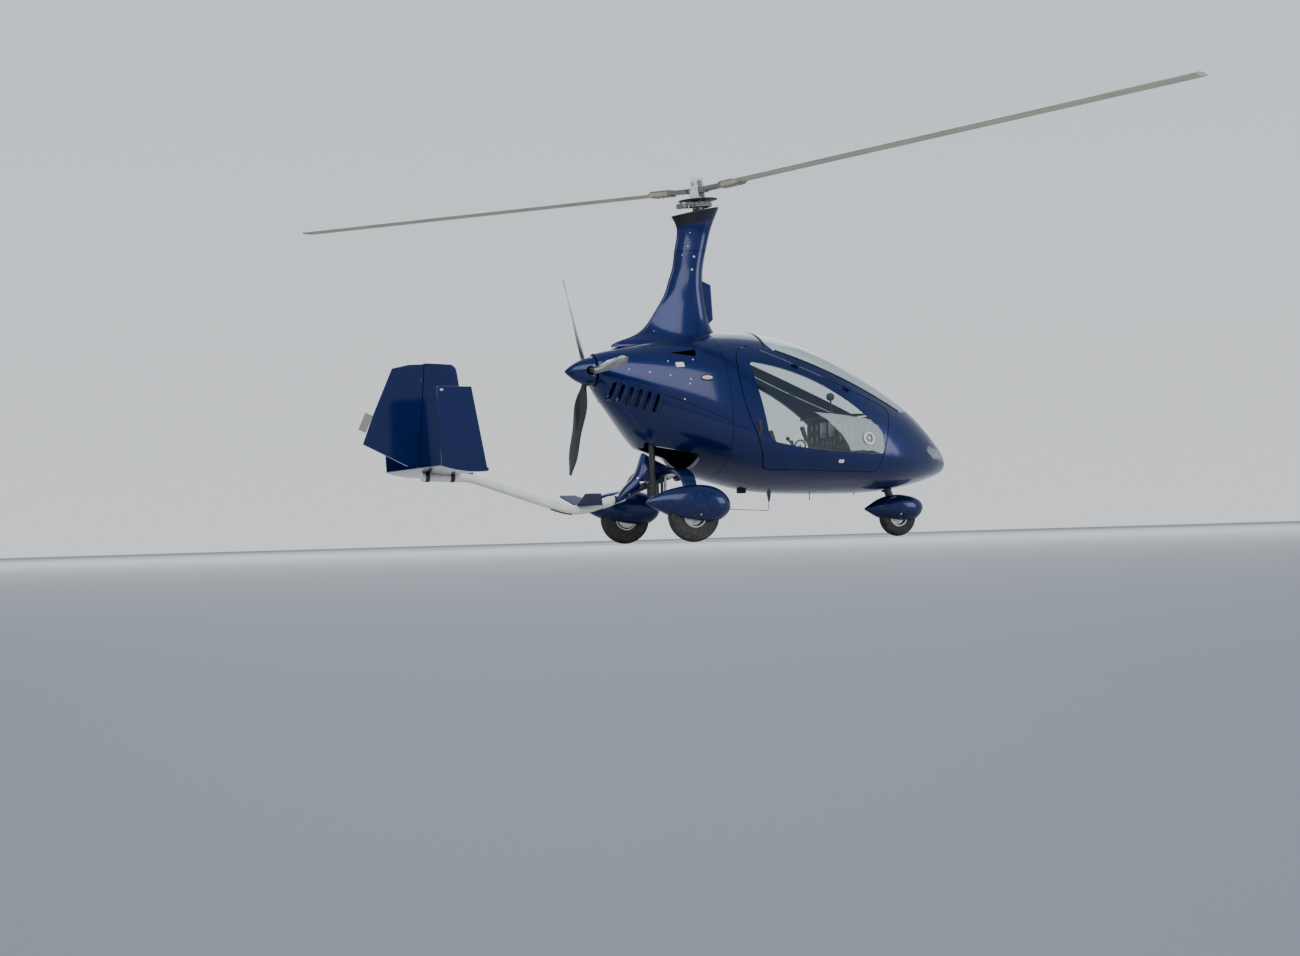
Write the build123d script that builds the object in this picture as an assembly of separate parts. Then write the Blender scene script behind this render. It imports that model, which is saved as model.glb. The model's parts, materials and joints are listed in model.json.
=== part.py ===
"""Enclosed side-by-side two-seat gyrocopter, standing on its three wheels.

Millimetres. +X points to the nose, +Y to the left-hand side, +Z up. The origin is on the
floor, in the plane of symmetry, half way along the aircraft.
"""
from build123d import *
import math
import os

# Whole aircraft
ROTOR_HUB_X = 244.0
ROTOR_HUB_Z = 2677.0
ROTOR_RADIUS = 4200.0
PROP_HUB_X = -700.0
PROP_AXIS_Z = 1295.0
PROP_RADIUS = 865.0
TRACK = 1386.0
MAIN_WHEEL_X = -155.0
NOSE_WHEEL_X = 1869.0
TAIL_SPAN = 1438.0

# Fits and gaps
SEAT_GAP = 0.3
PANEL_GAP = 7.0
RUNNING_FIT = 0.05
BOLT_SLACK = 0.6

# Cabin and cowl skin
HULL_WALL = 25.0
GLASS_THICK = 5.0
FIREWALL_X = 230.0
FIREWALL_THICK = 12.0
COWL_SEAM = 0.8
SHOULDER_IN, SHOULDER_UP = 0.707, 0.707
BILGE_IN, BILGE_DOWN = 0.74, 0.70
STATION_COLUMNS = ("x", "top", "crease", "bottom", "half width", "share of wall along x")
STATIONS = [
    (2262.0, 582.0, 558.0, 534.0, 30.0, 1.0),
    (2240.0, 624.0, 559.0, 497.0, 108.0, 0.9),
    (2144.0, 735.0, 566.0, 450.0, 250.0, 0.75),
    (1930.0, 960.0, 576.0, 393.0, 418.0, 0.5),
    (1639.0, 1163.0, 592.0, 350.0, 543.0, 0.3),
    (1282.0, 1373.0, 640.0, 343.0, 622.0, 0.15),
    (927.0, 1525.0, 672.0, 350.0, 650.0, 0.0),
    (575.0, 1587.0, 742.0, 382.0, 645.0, 0.0),
    (250.0, 1590.0, 870.0, 462.0, 600.0, 0.0),
    (-60.0, 1562.0, 1010.0, 560.0, 500.0, -0.1),
    (-280.0, 1515.0, 1108.0, 686.0, 385.0, -0.2),
    (-434.0, 1480.0, 1186.0, 866.0, 275.0, -0.5),
    (-560.0, 1453.0, 1248.0, 1030.0, 190.0, -0.7),
    (-648.0, 1430.0, 1295.0, 1160.0, 135.0, -1.0),
]

PARTS = {}


def group(*shapes):
    """Separate solids kept as one piece."""
    return Compound(children=[solid for shape in shapes for solid in shape.solids()])


def both_sides(shape):
    """A starboard shape and its mirror image to port."""
    return [shape, mirror(shape, about=Plane.XZ)]


def oval_wire(x, top, crease, bottom, half):
    """A body section square to X: six arcs, tangent but for the crease along each side."""
    shoulder_y = SHOULDER_IN * half
    shoulder_z = crease + SHOULDER_UP * (top - crease)
    bilge_y = BILGE_IN * half
    bilge_z = crease - BILGE_DOWN * (crease - bottom)
    left_shoulder, right_shoulder = (x, shoulder_y, shoulder_z), (x, -shoulder_y, shoulder_z)
    crown = Edge.make_three_point_arc(left_shoulder, (x, 0, top), right_shoulder)
    belly = Edge.make_three_point_arc((x, -bilge_y, bilge_z), (x, 0, bottom), (x, bilge_y, bilge_z))
    side_right = Edge.make_tangent_arc(crown @ 1, crown % 1, (x, -half, crease))
    side_left = Edge.make_tangent_arc(crown @ 0, -(crown % 0), (x, half, crease))
    bilge_right = Edge.make_tangent_arc(belly @ 0, -(belly % 0), (x, -half, crease))
    bilge_left = Edge.make_tangent_arc(belly @ 1, belly % 1, (x, half, crease))
    return Wire([crown, side_right, bilge_right, belly, bilge_left, side_left])


def hull(inset, first=0):
    """The body of the aircraft, its skin moved inwards by inset."""
    wires = []
    for x, top, crease, bottom, half, lean in STATIONS[first:]:
        wires.append(oval_wire(x - inset * lean, top - inset, crease, bottom + inset, half - inset))
    return Solid.make_loft(wires)


def side_prism(outline, y_near=0.0, y_far=-900.0):
    """An outline drawn in the XZ plane, run out to starboard from y_near to y_far."""
    face = Plane.XZ.offset(-y_near) * outline
    return extrude(face, amount=y_near - y_far)


def box_between(low, high):
    """A box given by its lowest and highest corners."""
    size = [h - l for l, h in zip(low, high)]
    return Pos(*low) * Box(*size, align=(Align.MIN, Align.MIN, Align.MIN))


def rod(start, end, radius):
    """A round bar from one point to another."""
    start, end = Vector(*start), Vector(*end)
    run = end - start
    return Solid.make_cylinder(radius, run.length, Plane(origin=start, z_dir=run))


HULL_OUTER = hull(0.0)
HULL_INNER = hull(HULL_WALL, first=1)
HULL_GLASS = hull(GLASS_THICK)
HULL_SEAT = hull(-SEAT_GAP)
SKIN = HULL_OUTER - HULL_INNER
GLAZING = HULL_OUTER - HULL_GLASS

# Doors: they hinge along their straight top edge, like gull wings
DOOR_TOP_SLOPE = -0.441
DOOR_TOP_REF = (761.0, 1334.0)


def door_top_z(x):
    """Height of the door's top edge."""
    return DOOR_TOP_REF[1] + DOOR_TOP_SLOPE * (x - DOOR_TOP_REF[0])


def closed_outline(edges, corner, wide_at=None, wide=0.0):
    """A flat outline with every corner rounded, one of them wider than the rest if asked."""
    face = make_face(edges)
    if wide_at is None:
        return fillet(face.vertices(), corner)
    face = fillet(face.vertices().sort_by_distance(wide_at)[:1], wide)
    return fillet(face.vertices().sort_by_distance(wide_at)[2:], corner)


def door_outline():
    """The door in side view."""
    top_rear = (372.0, door_top_z(372.0))
    top_front = (1590.0, door_top_z(1590.0))
    edges = [
        ThreePointArc(top_rear, (318.0, 1120.0), (405.0, 790.0)),
        Line((405.0, 790.0), (492.0, 525.0)),
        Line((492.0, 525.0), (1420.0, 490.0)),
        Line((1420.0, 490.0), top_front),
        Line(top_front, top_rear),
    ]
    return closed_outline(edges, 55.0, top_rear, 125.0)


def window_outline(grow=0.0):
    """The door's window in side view, or the slightly larger hole that it lies in."""
    low_rear, low_front = (505.0 - grow, 735.0 - grow), (1460.0 + grow, 628.0 - grow)
    top_front, top_rear = (1437.0 + grow, 846.0 + grow), (422.0 - grow, 1336.0 + grow)
    edges = [
        ThreePointArc(low_rear, (900.0, 662.0 - grow), low_front),
        ThreePointArc(low_front, (1484.0 + grow, 735.0), top_front),
        ThreePointArc(top_front, (975.0, 1170.0 + grow), top_rear),
        Line(top_rear, low_rear),
    ]
    return closed_outline(edges, 28.0 + grow, low_rear, 95.0 + grow)


def windscreen_outline():
    """The windscreen in side view, open upwards past the roof."""
    low_rear, low_front = (668.0, 1421.0), (1727.0, 948.0)
    edges = [
        ThreePointArc(low_rear, (1150.0, 1232.0), low_front),
        Line(low_front, (1930.0, 978.0)),
        Line((1930.0, 978.0), (2100.0, 1800.0)),
        Line((2100.0, 1800.0), (600.0, 1800.0)),
        Line((600.0, 1800.0), (600.0, 1515.0)),
        Line((600.0, 1515.0), low_rear),
    ]
    return make_face(edges)


DOOR_FACE = door_outline()
SCREEN_FACE = windscreen_outline()
VENT_X, VENT_Z, VENT_RADIUS = 1335.0, 743.0, 42.0


def panel_hole(face, y_near=0.0):
    """Openings through both sides of the hull, half a panel gap larger than the outline."""
    return both_sides(side_prism(offset(face, PANEL_GAP / 2), y_near))


# Nose leg, raked so that its line runs through the wheel's axle
NOSE_TYRE_RADIUS, NOSE_TYRE_WIDTH, NOSE_RIM_RADIUS = 150.0, 85.0, 74.0
RAKE = 20.9
RAKE_UP = Vector(-math.sin(math.radians(RAKE)), 0, math.cos(math.radians(RAKE)))
NOSE_AXLE = Vector(NOSE_WHEEL_X, 0, NOSE_TYRE_RADIUS)
LEG_RADIUS = 30.0
LEG_TOP = 345.0
BEARING_LOW, BEARING_HIGH, BEARING_RADIUS = 226.0, 330.0, 46.0
CROWN_LOW, CROWN_HIGH = 156.0, 170.0
FORK_GAP, FORK_PLATE, FORK_WIDTH = 7.0, 10.0, 44.0
NOSE_AXLE_RADIUS, NOSE_AXLE_BORE = 11.0, 6.0
TOW_HOLE_CLEAR = 3.0


def along_leg(distance):
    """A point on the raked steering line, measured up from the axle."""
    return NOSE_AXLE + RAKE_UP * distance


def leg_rod(low, high, radius):
    """A round bar on the steering line."""
    return rod(along_leg(low), along_leg(high), radius)


# Door hinges
HINGE_STATIONS = (810.0, 1223.0)
HINGE_STANDOFF = 13.0
PIN_RADIUS, KNUCKLE_RADIUS, KNUCKLE_LONG, EAR_LONG = 3.0, 6.5, 34.0, 9.0


def skin_half_width(x, z):
    """Half width of the outer skin at a station and height."""
    probe = Edge.make_line((x, 0, z), (x, -900, z))
    inside = probe & HULL_OUTER
    return -inside.bounding_box().min.Y


HINGE_LOW = Vector(HINGE_STATIONS[1], 0, door_top_z(HINGE_STATIONS[1]))
HINGE_HIGH = Vector(HINGE_STATIONS[0], 0, door_top_z(HINGE_STATIONS[0]))
mid_x = (HINGE_STATIONS[0] + HINGE_STATIONS[1]) / 2
half_low = skin_half_width(HINGE_LOW.X, HINGE_LOW.Z)
half_high = skin_half_width(HINGE_HIGH.X, HINGE_HIGH.Z)
half_mid = skin_half_width(mid_x, door_top_z(mid_x))
bow_out = half_mid - (half_low + half_high) / 2 + HINGE_STANDOFF
HINGE_LOW.Y = -(half_low + bow_out)
HINGE_HIGH.Y = -(half_high + bow_out)
HINGE_DIR = (HINGE_LOW - HINGE_HIGH).normalized()


def hinge_plane(point):
    """A frame on the hinge line: z along the line, x outboard, y up out of the slot."""
    outboard = Vector(0, -1, 0)
    outboard = outboard - HINGE_DIR * outboard.dot(HINGE_DIR)
    return Plane(origin=point, x_dir=outboard, z_dir=HINGE_DIR)


def hinge_pieces(point):
    """The door's knuckle with its arm, and the rail's two ears with their pin."""
    frame = hinge_plane(point)
    reach = 34.0
    knuckle = Cylinder(KNUCKLE_RADIUS, KNUCKLE_LONG)
    knuckle += Pos(-reach / 2, 7.5, 0) * Box(reach, 8, KNUCKLE_LONG)
    knuckle -= Cylinder(PIN_RADIUS + RUNNING_FIT, 2 * KNUCKLE_LONG)
    ear_at = KNUCKLE_LONG / 2 + BOLT_SLACK + EAR_LONG / 2
    ears = Cylinder(PIN_RADIUS, 2 * ear_at + EAR_LONG)
    for side in (-1, 1):
        ears += Pos(0, 0, side * ear_at) * Cylinder(KNUCKLE_RADIUS, EAR_LONG)
        ears += Pos(-reach / 2, -7.5, side * ear_at) * Box(reach, 8, EAR_LONG)
    return frame * knuckle, frame * ears

# Cabin tub, nose and roof, one moulding, with its floor and seat bench
FLOOR_Z, FLOOR_THICK = 430.0, 12.0
BENCH_Z, BENCH_FRONT_X = 560.0, 890.0
LAMP_POINTS = ((1922.0, 662.0), (1968.0, 690.0), (2108.0, 656.0), (2164.0, 586.0), (2000.0, 588.0))
LAMP_INNER_Y = -45.0


def cabin_pieces():
    """The cabin shell, its doors, their glass and vents, the windscreen and the lamp lenses."""
    leaf = SKIN & side_prism(offset(DOOR_FACE, -PANEL_GAP / 2))
    door = leaf - side_prism(window_outline(SEAT_GAP))
    vent_at = Pos(VENT_X, VENT_Z)
    pane_face = window_outline() - vent_at * Circle(VENT_RADIUS)
    pane = GLAZING & side_prism(pane_face)
    vent = (HULL_SEAT & side_prism(vent_at * Circle(VENT_RADIUS - SEAT_GAP))) - HULL_GLASS

    lamp_face = closed_outline(Polyline(*LAMP_POINTS, close=True), 14.0)
    lamp_hole = side_prism(lamp_face, LAMP_INNER_Y)
    lamp_lens = GLAZING & side_prism(offset(lamp_face, -SEAT_GAP), LAMP_INNER_Y)

    screen_hole = side_prism(SCREEN_FACE, 900, -900)
    screen = GLAZING & side_prism(offset(SCREEN_FACE, -SEAT_GAP), 900, -900)

    ahead = box_between((FIREWALL_X, -900, 0), (2500, 900, 2000))
    shell = SKIN & ahead
    floor = box_between((FIREWALL_X, -900, FLOOR_Z), (1900, 900, FLOOR_Z + FLOOR_THICK))
    bench = box_between((FIREWALL_X, -900, BENCH_Z), (BENCH_FRONT_X, 900, BENCH_Z + FLOOR_THICK))
    bench_back = BENCH_FRONT_X - FLOOR_THICK
    riser = box_between((bench_back, -900, FLOOR_Z), (BENCH_FRONT_X, 900, BENCH_Z + FLOOR_THICK))
    shell += (floor + bench + riser) & HULL_GLASS
    shell -= screen_hole
    for hole in panel_hole(DOOR_FACE) + both_sides(lamp_hole):
        shell -= hole
    shell += leg_rod(BEARING_LOW, BEARING_HIGH, BEARING_RADIUS)
    shell -= leg_rod(BEARING_LOW - 100, BEARING_HIGH + 100, LEG_RADIUS + RUNNING_FIT)
    for point in (HINGE_LOW, HINGE_HIGH):
        knuckle, ears = hinge_pieces(point)
        door += knuckle
        for piece in both_sides(ears):
            shell += piece
    PARTS["cabin_shell"] = shell
    PARTS["windscreen"] = screen
    PARTS["headlamp_lenses"] = group(*both_sides(lamp_lens))
    PARTS["door_right"], PARTS["door_left"] = both_sides(door)
    PARTS["door_glass_right"], PARTS["door_glass_left"] = both_sides(group(pane, vent))


# Engine bay: firewall, cowls, engine and its mounts
COWL_SPLIT = ((FIREWALL_X, 878.0), (-700.0, 1308.0))
OUTLET_POINTS = ((-312.0, 738.0), (52.0, 648.0), (52.0, 400.0), (-312.0, 400.0))
SHAFT_RADIUS = 22.0
SHAFT_HOLE_RADIUS = 34.0
ENGINE_LOW, ENGINE_HIGH = (-330.0, -190.0, 960.0), (100.0, 190.0, 1330.0)
LOUVRES = 6
LOUVRE_FIRST, LOUVRE_STEP = (-292.0, 1036.0), (-54.0, 21.0)
LOUVRE_LONG, LOUVRE_WIDE, LOUVRE_LEAN = 136.0, 20.0, 13.0
HOOD_WIDE, HOOD_PROUD = 24.0, 9.0
INLET_POINTS = ((-150.0, 1412.0), (42.0, 1434.0), (26.0, 1378.0))
INLET_INNER_Y = 150.0
PROP_FACE_X = -662.0
MOUNT_TUBE_RADIUS = 12.5
EXHAUST_AT, EXHAUST_END = (-250.0, -150.0), 341.0
EXHAUST_RADIUS, EXHAUST_CLEAR = 46.0, 12.0


def engine_bay():
    """The bulkhead and everything behind the cabin up to the propeller's shaft."""
    slab = box_between((FIREWALL_X - FIREWALL_THICK, -900, 0), (FIREWALL_X, 900, 2000))
    PARTS["firewall"] = hull(HULL_WALL + SEAT_GAP, first=1) & slab

    behind = box_between((-900, -900, 0), (FIREWALL_X - COWL_SEAM, 900, 2000))
    cowl = (SKIN & behind) - rod((-800, 0, PROP_AXIS_Z), (-500, 0, PROP_AXIS_Z), SHAFT_HOLE_RADIUS)
    (x0, z0), (x1, z1) = COWL_SPLIT
    upper_face = make_face(Polyline((x0, z0), (x1, z1), (x1, 2000), (x0, 2000), close=True))
    above = side_prism(upper_face, 900, -900)
    inlet = side_prism(make_face(Polyline(*INLET_POINTS, close=True)), -INLET_INNER_Y)
    upper = cowl & above
    for hole in both_sides(inlet):
        upper -= hole
    PARTS["cowl_upper"] = upper

    slots, hoods = [], []
    for number in range(LOUVRES):
        x = LOUVRE_FIRST[0] + number * LOUVRE_STEP[0]
        z = LOUVRE_FIRST[1] + number * LOUVRE_STEP[1]
        outline = Rot(0, 0, 90 - LOUVRE_LEAN) * SlotOverall(LOUVRE_LONG, LOUVRE_WIDE)
        slots += both_sides(side_prism(Pos(x, z) * outline))
        outline = Rot(0, 0, 90 - LOUVRE_LEAN) * SlotOverall(LOUVRE_LONG + 14, HOOD_WIDE)
        hoods += both_sides(side_prism(Pos(x + (LOUVRE_WIDE + HOOD_WIDE) / 2 - 1, z) * outline))
    raised = hull(-HOOD_PROUD) - HULL_INNER
    lower = cowl
    for hood in hoods:
        lower += raised & hood
    lower -= Pos(0, 0, -COWL_SEAM) * above
    outlet_face = closed_outline(Polyline(*OUTLET_POINTS, close=True), 40.0)
    lower -= side_prism(outlet_face, 900, -900)
    for slot in slots:
        lower -= slot
    lower -= rod((*EXHAUST_AT, 900), (*EXHAUST_AT, 300), EXHAUST_RADIUS + EXHAUST_CLEAR)
    PARTS["cowl_lower"] = lower

    block = box_between(ENGINE_LOW, ENGINE_HIGH)
    block += rod((ENGINE_LOW[0] + 1, 0, PROP_AXIS_Z), (ENGINE_LOW[0] - 90, 0, PROP_AXIS_Z), 88)
    block += rod((ENGINE_LOW[0], 0, PROP_AXIS_Z), (PROP_FACE_X - 30, 0, PROP_AXIS_Z), SHAFT_RADIUS)
    bulkhead_x = FIREWALL_X - FIREWALL_THICK
    for y in (-150, 150):
        for z in (1000, 1285):
            block += rod((ENGINE_HIGH[0] - 1, y, z), (bulkhead_x, y, z), MOUNT_TUBE_RADIUS)
    PARTS["engine_block"] = block

    x, y = EXHAUST_AT
    pipe = rod((x, y, ENGINE_LOW[2]), (x, y, EXHAUST_END + 89), 24)
    can = rod((x, y, EXHAUST_END + 99), (x, y, EXHAUST_END), EXHAUST_RADIUS)
    can -= rod((x, y, EXHAUST_END + 89), (x, y, EXHAUST_END - 40), EXHAUST_RADIUS - 6)
    PARTS["exhaust_outlet"] = pipe + can


# Mast fairing: upright, square to Z, with a cup for the rotor head at its top
PYLON_COLUMNS = ("z", "rear x", "front x", "half width")
PYLON = [
    (1480.0, -500.0, 430.0, 190.0),
    (1540.0, -395.0, 388.0, 160.0),
    (1608.0, -250.0, 322.0, 136.0),
    (1700.0, -168.0, 290.0, 114.0),
    (1830.0, -82.0, 268.0, 102.0),
    (1990.0, -14.0, 258.0, 96.0),
    (2130.0, 28.0, 274.0, 92.0),
    (2256.0, 49.0, 304.0, 92.0),
    (2371.0, 66.0, 336.0, 98.0),
    (2465.0, 28.0, 372.0, 116.0),
    (2570.0, -18.0, 416.0, 142.0),
]
CUP_WALL, CUP_FLOOR_Z = 9.0, 2400.0
RIM_REAR, RIM_FRONT = (23.0, 2469.0), (406.0, 2547.0)
SCOOP_HALF, SCOOP_WALL = 62.0, 9.0


def pylon_wire(z, rear, front, half):
    """A teardrop of four arcs, round in front and thin behind."""
    x_wide = front - 0.9 * half
    tail = 0.16 * half
    nose = Edge.make_three_point_arc((x_wide, half, z), (front, 0, z), (x_wide, -half, z))
    right = Edge.make_tangent_arc(nose @ 1, nose % 1, (rear + tail, -tail, z))
    left = Edge.make_tangent_arc(nose @ 0, -(nose % 0), (rear + tail, tail, z))
    back = Edge.make_three_point_arc((rear + tail, -tail, z), (rear, 0, z), (rear + tail, tail, z))
    return Wire([nose, right, back, left])


def pylon_body(inset=0.0):
    """The fairing as one loft, or its inside."""
    wires = []
    for z, rear, front, half in PYLON:
        wires.append(pylon_wire(z, rear + inset, front - inset, half - inset))
    return Solid.make_loft(wires)


def scoop_face():
    """The air scoop on the front of the fairing, in side view."""
    edges = [
        Line((200, 1625), (278, 1643)),
        Line((278, 1643), (322, 1686)),
        Line((322, 1686), (311, 1946)),
        Line((311, 1946), (245, 1976)),
        ThreePointArc((245, 1976), (222, 1988), (200, 2010)),
        Line((200, 2010), (200, 1625)),
    ]
    return make_face(edges)


def mast_fairing():
    """The fairing round the mast, its scoop and its open cup."""
    body = pylon_body()
    scoop = extrude(Plane.XZ.offset(-SCOOP_HALF) * scoop_face(), amount=2 * SCOOP_HALF)
    rims = scoop.edges().filter_by(lambda e: e.center().X > 290 and abs(e.center().Y) > SCOOP_HALF - 1)
    scoop = fillet(rims, 12)
    body += scoop
    mouth = box_between((250, -SCOOP_HALF + SCOOP_WALL, 1712), (420, SCOOP_HALF - SCOOP_WALL, 1862))
    body -= fillet(mouth.edges().filter_by(Axis.X), 20)
    body -= HULL_SEAT
    slope = (RIM_FRONT[1] - RIM_REAR[1]) / (RIM_FRONT[0] - RIM_REAR[0])
    low_z, high_z = RIM_REAR[1] - 200 * slope, RIM_REAR[1] + 700 * slope
    top_face = make_face(Polyline((-177, low_z), (723, high_z), (723, 2900), (-177, 2900), close=True))
    body -= side_prism(top_face, 900, -900)
    body -= pylon_body(CUP_WALL) & box_between((-300, -300, CUP_FLOOR_Z), (600, 300, 2800))
    PARTS["mast_fairing"] = body


# Spine under the engine, tail tube and winglets
SPINE = [
    (-512.0, 370.0, 296.0, 40.0),
    (-433.0, 420.0, 324.0, 46.0),
    (-352.0, 500.0, 362.0, 56.0),
    (-305.0, 590.0, 384.0, 62.0),
    (-262.0, 700.0, 400.0, 66.0),
    (-150.0, 712.0, 440.0, 70.0),
    (0.0, 690.0, 492.0, 66.0),
    (140.0, 640.0, 490.0, 46.0),
]
TUBE_RADIUS = 34.0
TUBE_POINTS = ((-430.0, 0.0, 354.0), (-815.0, 0.0, 243.0), (-1640.0, 0.0, 520.0), (-2000.0, 0.0, 530.0))
TUBE_BENDS = (420.0, 420.0)


def tube_solid(radius):
    """The bent tail tube, or the bore it lies in."""
    path = FilletPolyline(*TUBE_POINTS, radius=TUBE_BENDS)
    ring = Plane(origin=path @ 0, z_dir=path % 0) * Circle(radius)
    return sweep(ring, path=path)


# Main undercarriage: one bow leg with a wheel at each end
BOW_COLUMNS = ("y", "z", "x of its middle", "chord", "thickness")
BOW = [
    (0.0, 505.0, -112.0, 136.0, 50.0),
    (-170.0, 526.0, -116.0, 132.0, 48.0),
    (-340.0, 531.0, -124.0, 126.0, 44.0),
    (-470.0, 508.0, -128.0, 120.0, 38.0),
    (-560.0, 452.0, -132.0, 112.0, 32.0),
    (-602.0, 370.0, -140.0, 106.0, 28.0),
    (-614.0, 182.0, -155.0, 96.0, 27.0),
]
MAIN_TYRE_RADIUS, MAIN_TYRE_WIDTH, MAIN_RIM_RADIUS = 195.0, 100.0, 90.0
MAIN_AXLE_RADIUS, MAIN_FLANGE_RADIUS = 15.0, 24.0


def bow_leg(gap=0.0):
    """The leg from its port foot over the spine to its starboard foot, or the room it takes."""
    port = [(-y, z, x, chord, thick) for y, z, x, chord, thick in reversed(BOW[1:])]
    line = port + BOW
    wires = []
    for number, (y, z, x, chord, thick) in enumerate(line):
        before = line[max(number - 1, 0)]
        after = line[min(number + 1, len(line) - 1)]
        run = Vector(0, after[0] - before[0], after[1] - before[1])
        plane = Plane(origin=(x, y, z), x_dir=(1, 0, 0), z_dir=run)
        flat = RectangleRounded(chord + 2 * gap, thick + 2 * gap, 0.4 * thick)
        wires.append((plane * flat).wire())
    return Solid.make_loft(wires)


def stub_axle(gap=0.0):
    """The starboard axle with its flange against the leg, or the room they take."""
    leg_face = BOW[-1][0] - BOW[-1][4] / 2
    axle_end = -TRACK / 2 - MAIN_TYRE_WIDTH / 2 - 6
    x, z = MAIN_WHEEL_X, MAIN_TYRE_RADIUS
    axle = rod((x, leg_face + 5, z), (x, axle_end, z), MAIN_AXLE_RADIUS + gap)
    return axle + rod((x, leg_face + 5, z), (x, leg_face - 5 - gap, z), MAIN_FLANGE_RADIUS + gap)


def undercarriage_frame():
    """The spine, the tail tube, the winglets, the bow leg and its axles."""
    bow_room = bow_leg(SEAT_GAP)
    PARTS["gear_bow"] = bow_leg()

    wires = [oval_wire(x, top, (top + bottom) / 2, bottom, half) for x, top, bottom, half in SPINE]
    spine = Solid.make_loft(wires) - HULL_SEAT - bow_room - tube_solid(TUBE_RADIUS + SEAT_GAP)
    PARTS["keel_spine"] = spine
    PARTS["tail_tube"] = tube_solid(TUBE_RADIUS)

    plan = make_face(Polyline((-600, -10), (-808, -10), (-842, -300), (-716, -300), close=True))
    plate = extrude(fillet(plan.vertices().filter_by(lambda v: v.Y < -100), 20), amount=10)
    plate = Pos(0, 0, 284) * Rot(-16.5, 0, 0) * plate
    plate -= tube_solid(TUBE_RADIUS + SEAT_GAP)
    PARTS["tube_winglets"] = group(*both_sides(plate))

    PARTS["main_axles"] = group(*both_sides(stub_axle() - bow_room))
    return bow_room


# Wheels
def tyre(radius, width, rim):
    """A tyre turned about its axle, standing on Y."""
    half = width / 2
    shoulder = radius - 0.30 * (radius - rim)
    edges = [
        ThreePointArc((half * 0.62, radius - 4), (0, radius), (-half * 0.62, radius - 4)),
        ThreePointArc((-half * 0.62, radius - 4), (-half * 0.90, radius - 12), (-half, shoulder)),
        ThreePointArc((-half, shoulder), (-half * 0.97, (shoulder + rim) / 2), (-half * 0.74, rim)),
        Line((-half * 0.74, rim), (half * 0.74, rim)),
        ThreePointArc((half * 0.74, rim), (half * 0.97, (shoulder + rim) / 2), (half, shoulder)),
        ThreePointArc((half, shoulder), (half * 0.90, radius - 12), (half * 0.62, radius - 4)),
    ]
    return turned(edges)


def turned(edges):
    """A profile of (y across, radius) edges turned about the Y axis."""
    face = Plane((0, 0, 0), x_dir=(0, 1, 0), z_dir=(1, 0, 0)) * make_face(edges)
    return revolve(face, Axis.Y)


def rim(radius, width, bore, hub_half):
    """A rim with its disc and hub, bored for the axle."""
    half = width * 0.37
    seat = radius - SEAT_GAP
    points = [
        (-half, seat), (half, seat), (half, seat - 9), (10, seat - 20), (10, bore + 16),
        (hub_half, bore + 12), (hub_half, bore), (-hub_half, bore), (-hub_half, bore + 12),
        (-10, bore + 16), (-10, seat - 20), (-half, seat - 9),
    ]
    return turned(Polyline(*points, close=True))


def wheels():
    """The three wheels, each a tyre on its rim."""
    main_at = (MAIN_WHEEL_X, -TRACK / 2, MAIN_TYRE_RADIUS)
    main_rim = rim(MAIN_RIM_RADIUS, MAIN_TYRE_WIDTH, MAIN_AXLE_RADIUS + RUNNING_FIT, 42)
    main_tyre = tyre(MAIN_TYRE_RADIUS, MAIN_TYRE_WIDTH, MAIN_RIM_RADIUS)
    PARTS["tyre_right"], PARTS["tyre_left"] = both_sides(Pos(*main_at) * main_tyre)
    PARTS["rim_right"], PARTS["rim_left"] = both_sides(Pos(*main_at) * main_rim)
    nose_rim = rim(NOSE_RIM_RADIUS, NOSE_TYRE_WIDTH, NOSE_AXLE_RADIUS + RUNNING_FIT, 38)
    nose_tyre = tyre(NOSE_TYRE_RADIUS, NOSE_TYRE_WIDTH, NOSE_RIM_RADIUS)
    PARTS["tyre_nose"] = Pos(*NOSE_AXLE) * nose_tyre
    PARTS["rim_nose"] = Pos(*NOSE_AXLE) * nose_rim


# Wheel spats
SPAT_WALL = 8.0
MAIN_SPAT = [
    (-524.0, 304.0, 286.0, 9.0),
    (-470.0, 338.0, 256.0, 36.0),
    (-400.0, 369.0, 221.0, 64.0),
    (-259.0, 406.0, 166.0, 104.0),
    (-120.0, 418.0, 140.0, 118.0),
    (10.0, 399.0, 146.0, 112.0),
    (90.0, 351.0, 184.0, 80.0),
    (128.0, 287.0, 232.0, 26.0),
]
NOSE_SPAT = [
    (1588.0, 226.0, 208.0, 9.0),
    (1640.0, 258.0, 180.0, 36.0),
    (1740.0, 306.0, 135.0, 74.0),
    (1869.0, 326.0, 114.0, 95.0),
    (1980.0, 312.0, 118.0, 88.0),
    (2050.0, 284.0, 152.0, 60.0),
    (2086.0, 246.0, 204.0, 22.0),
]
SPAT_TYRE_GAP, SPAT_SLOT_UP = 8.0, 40.0


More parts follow.
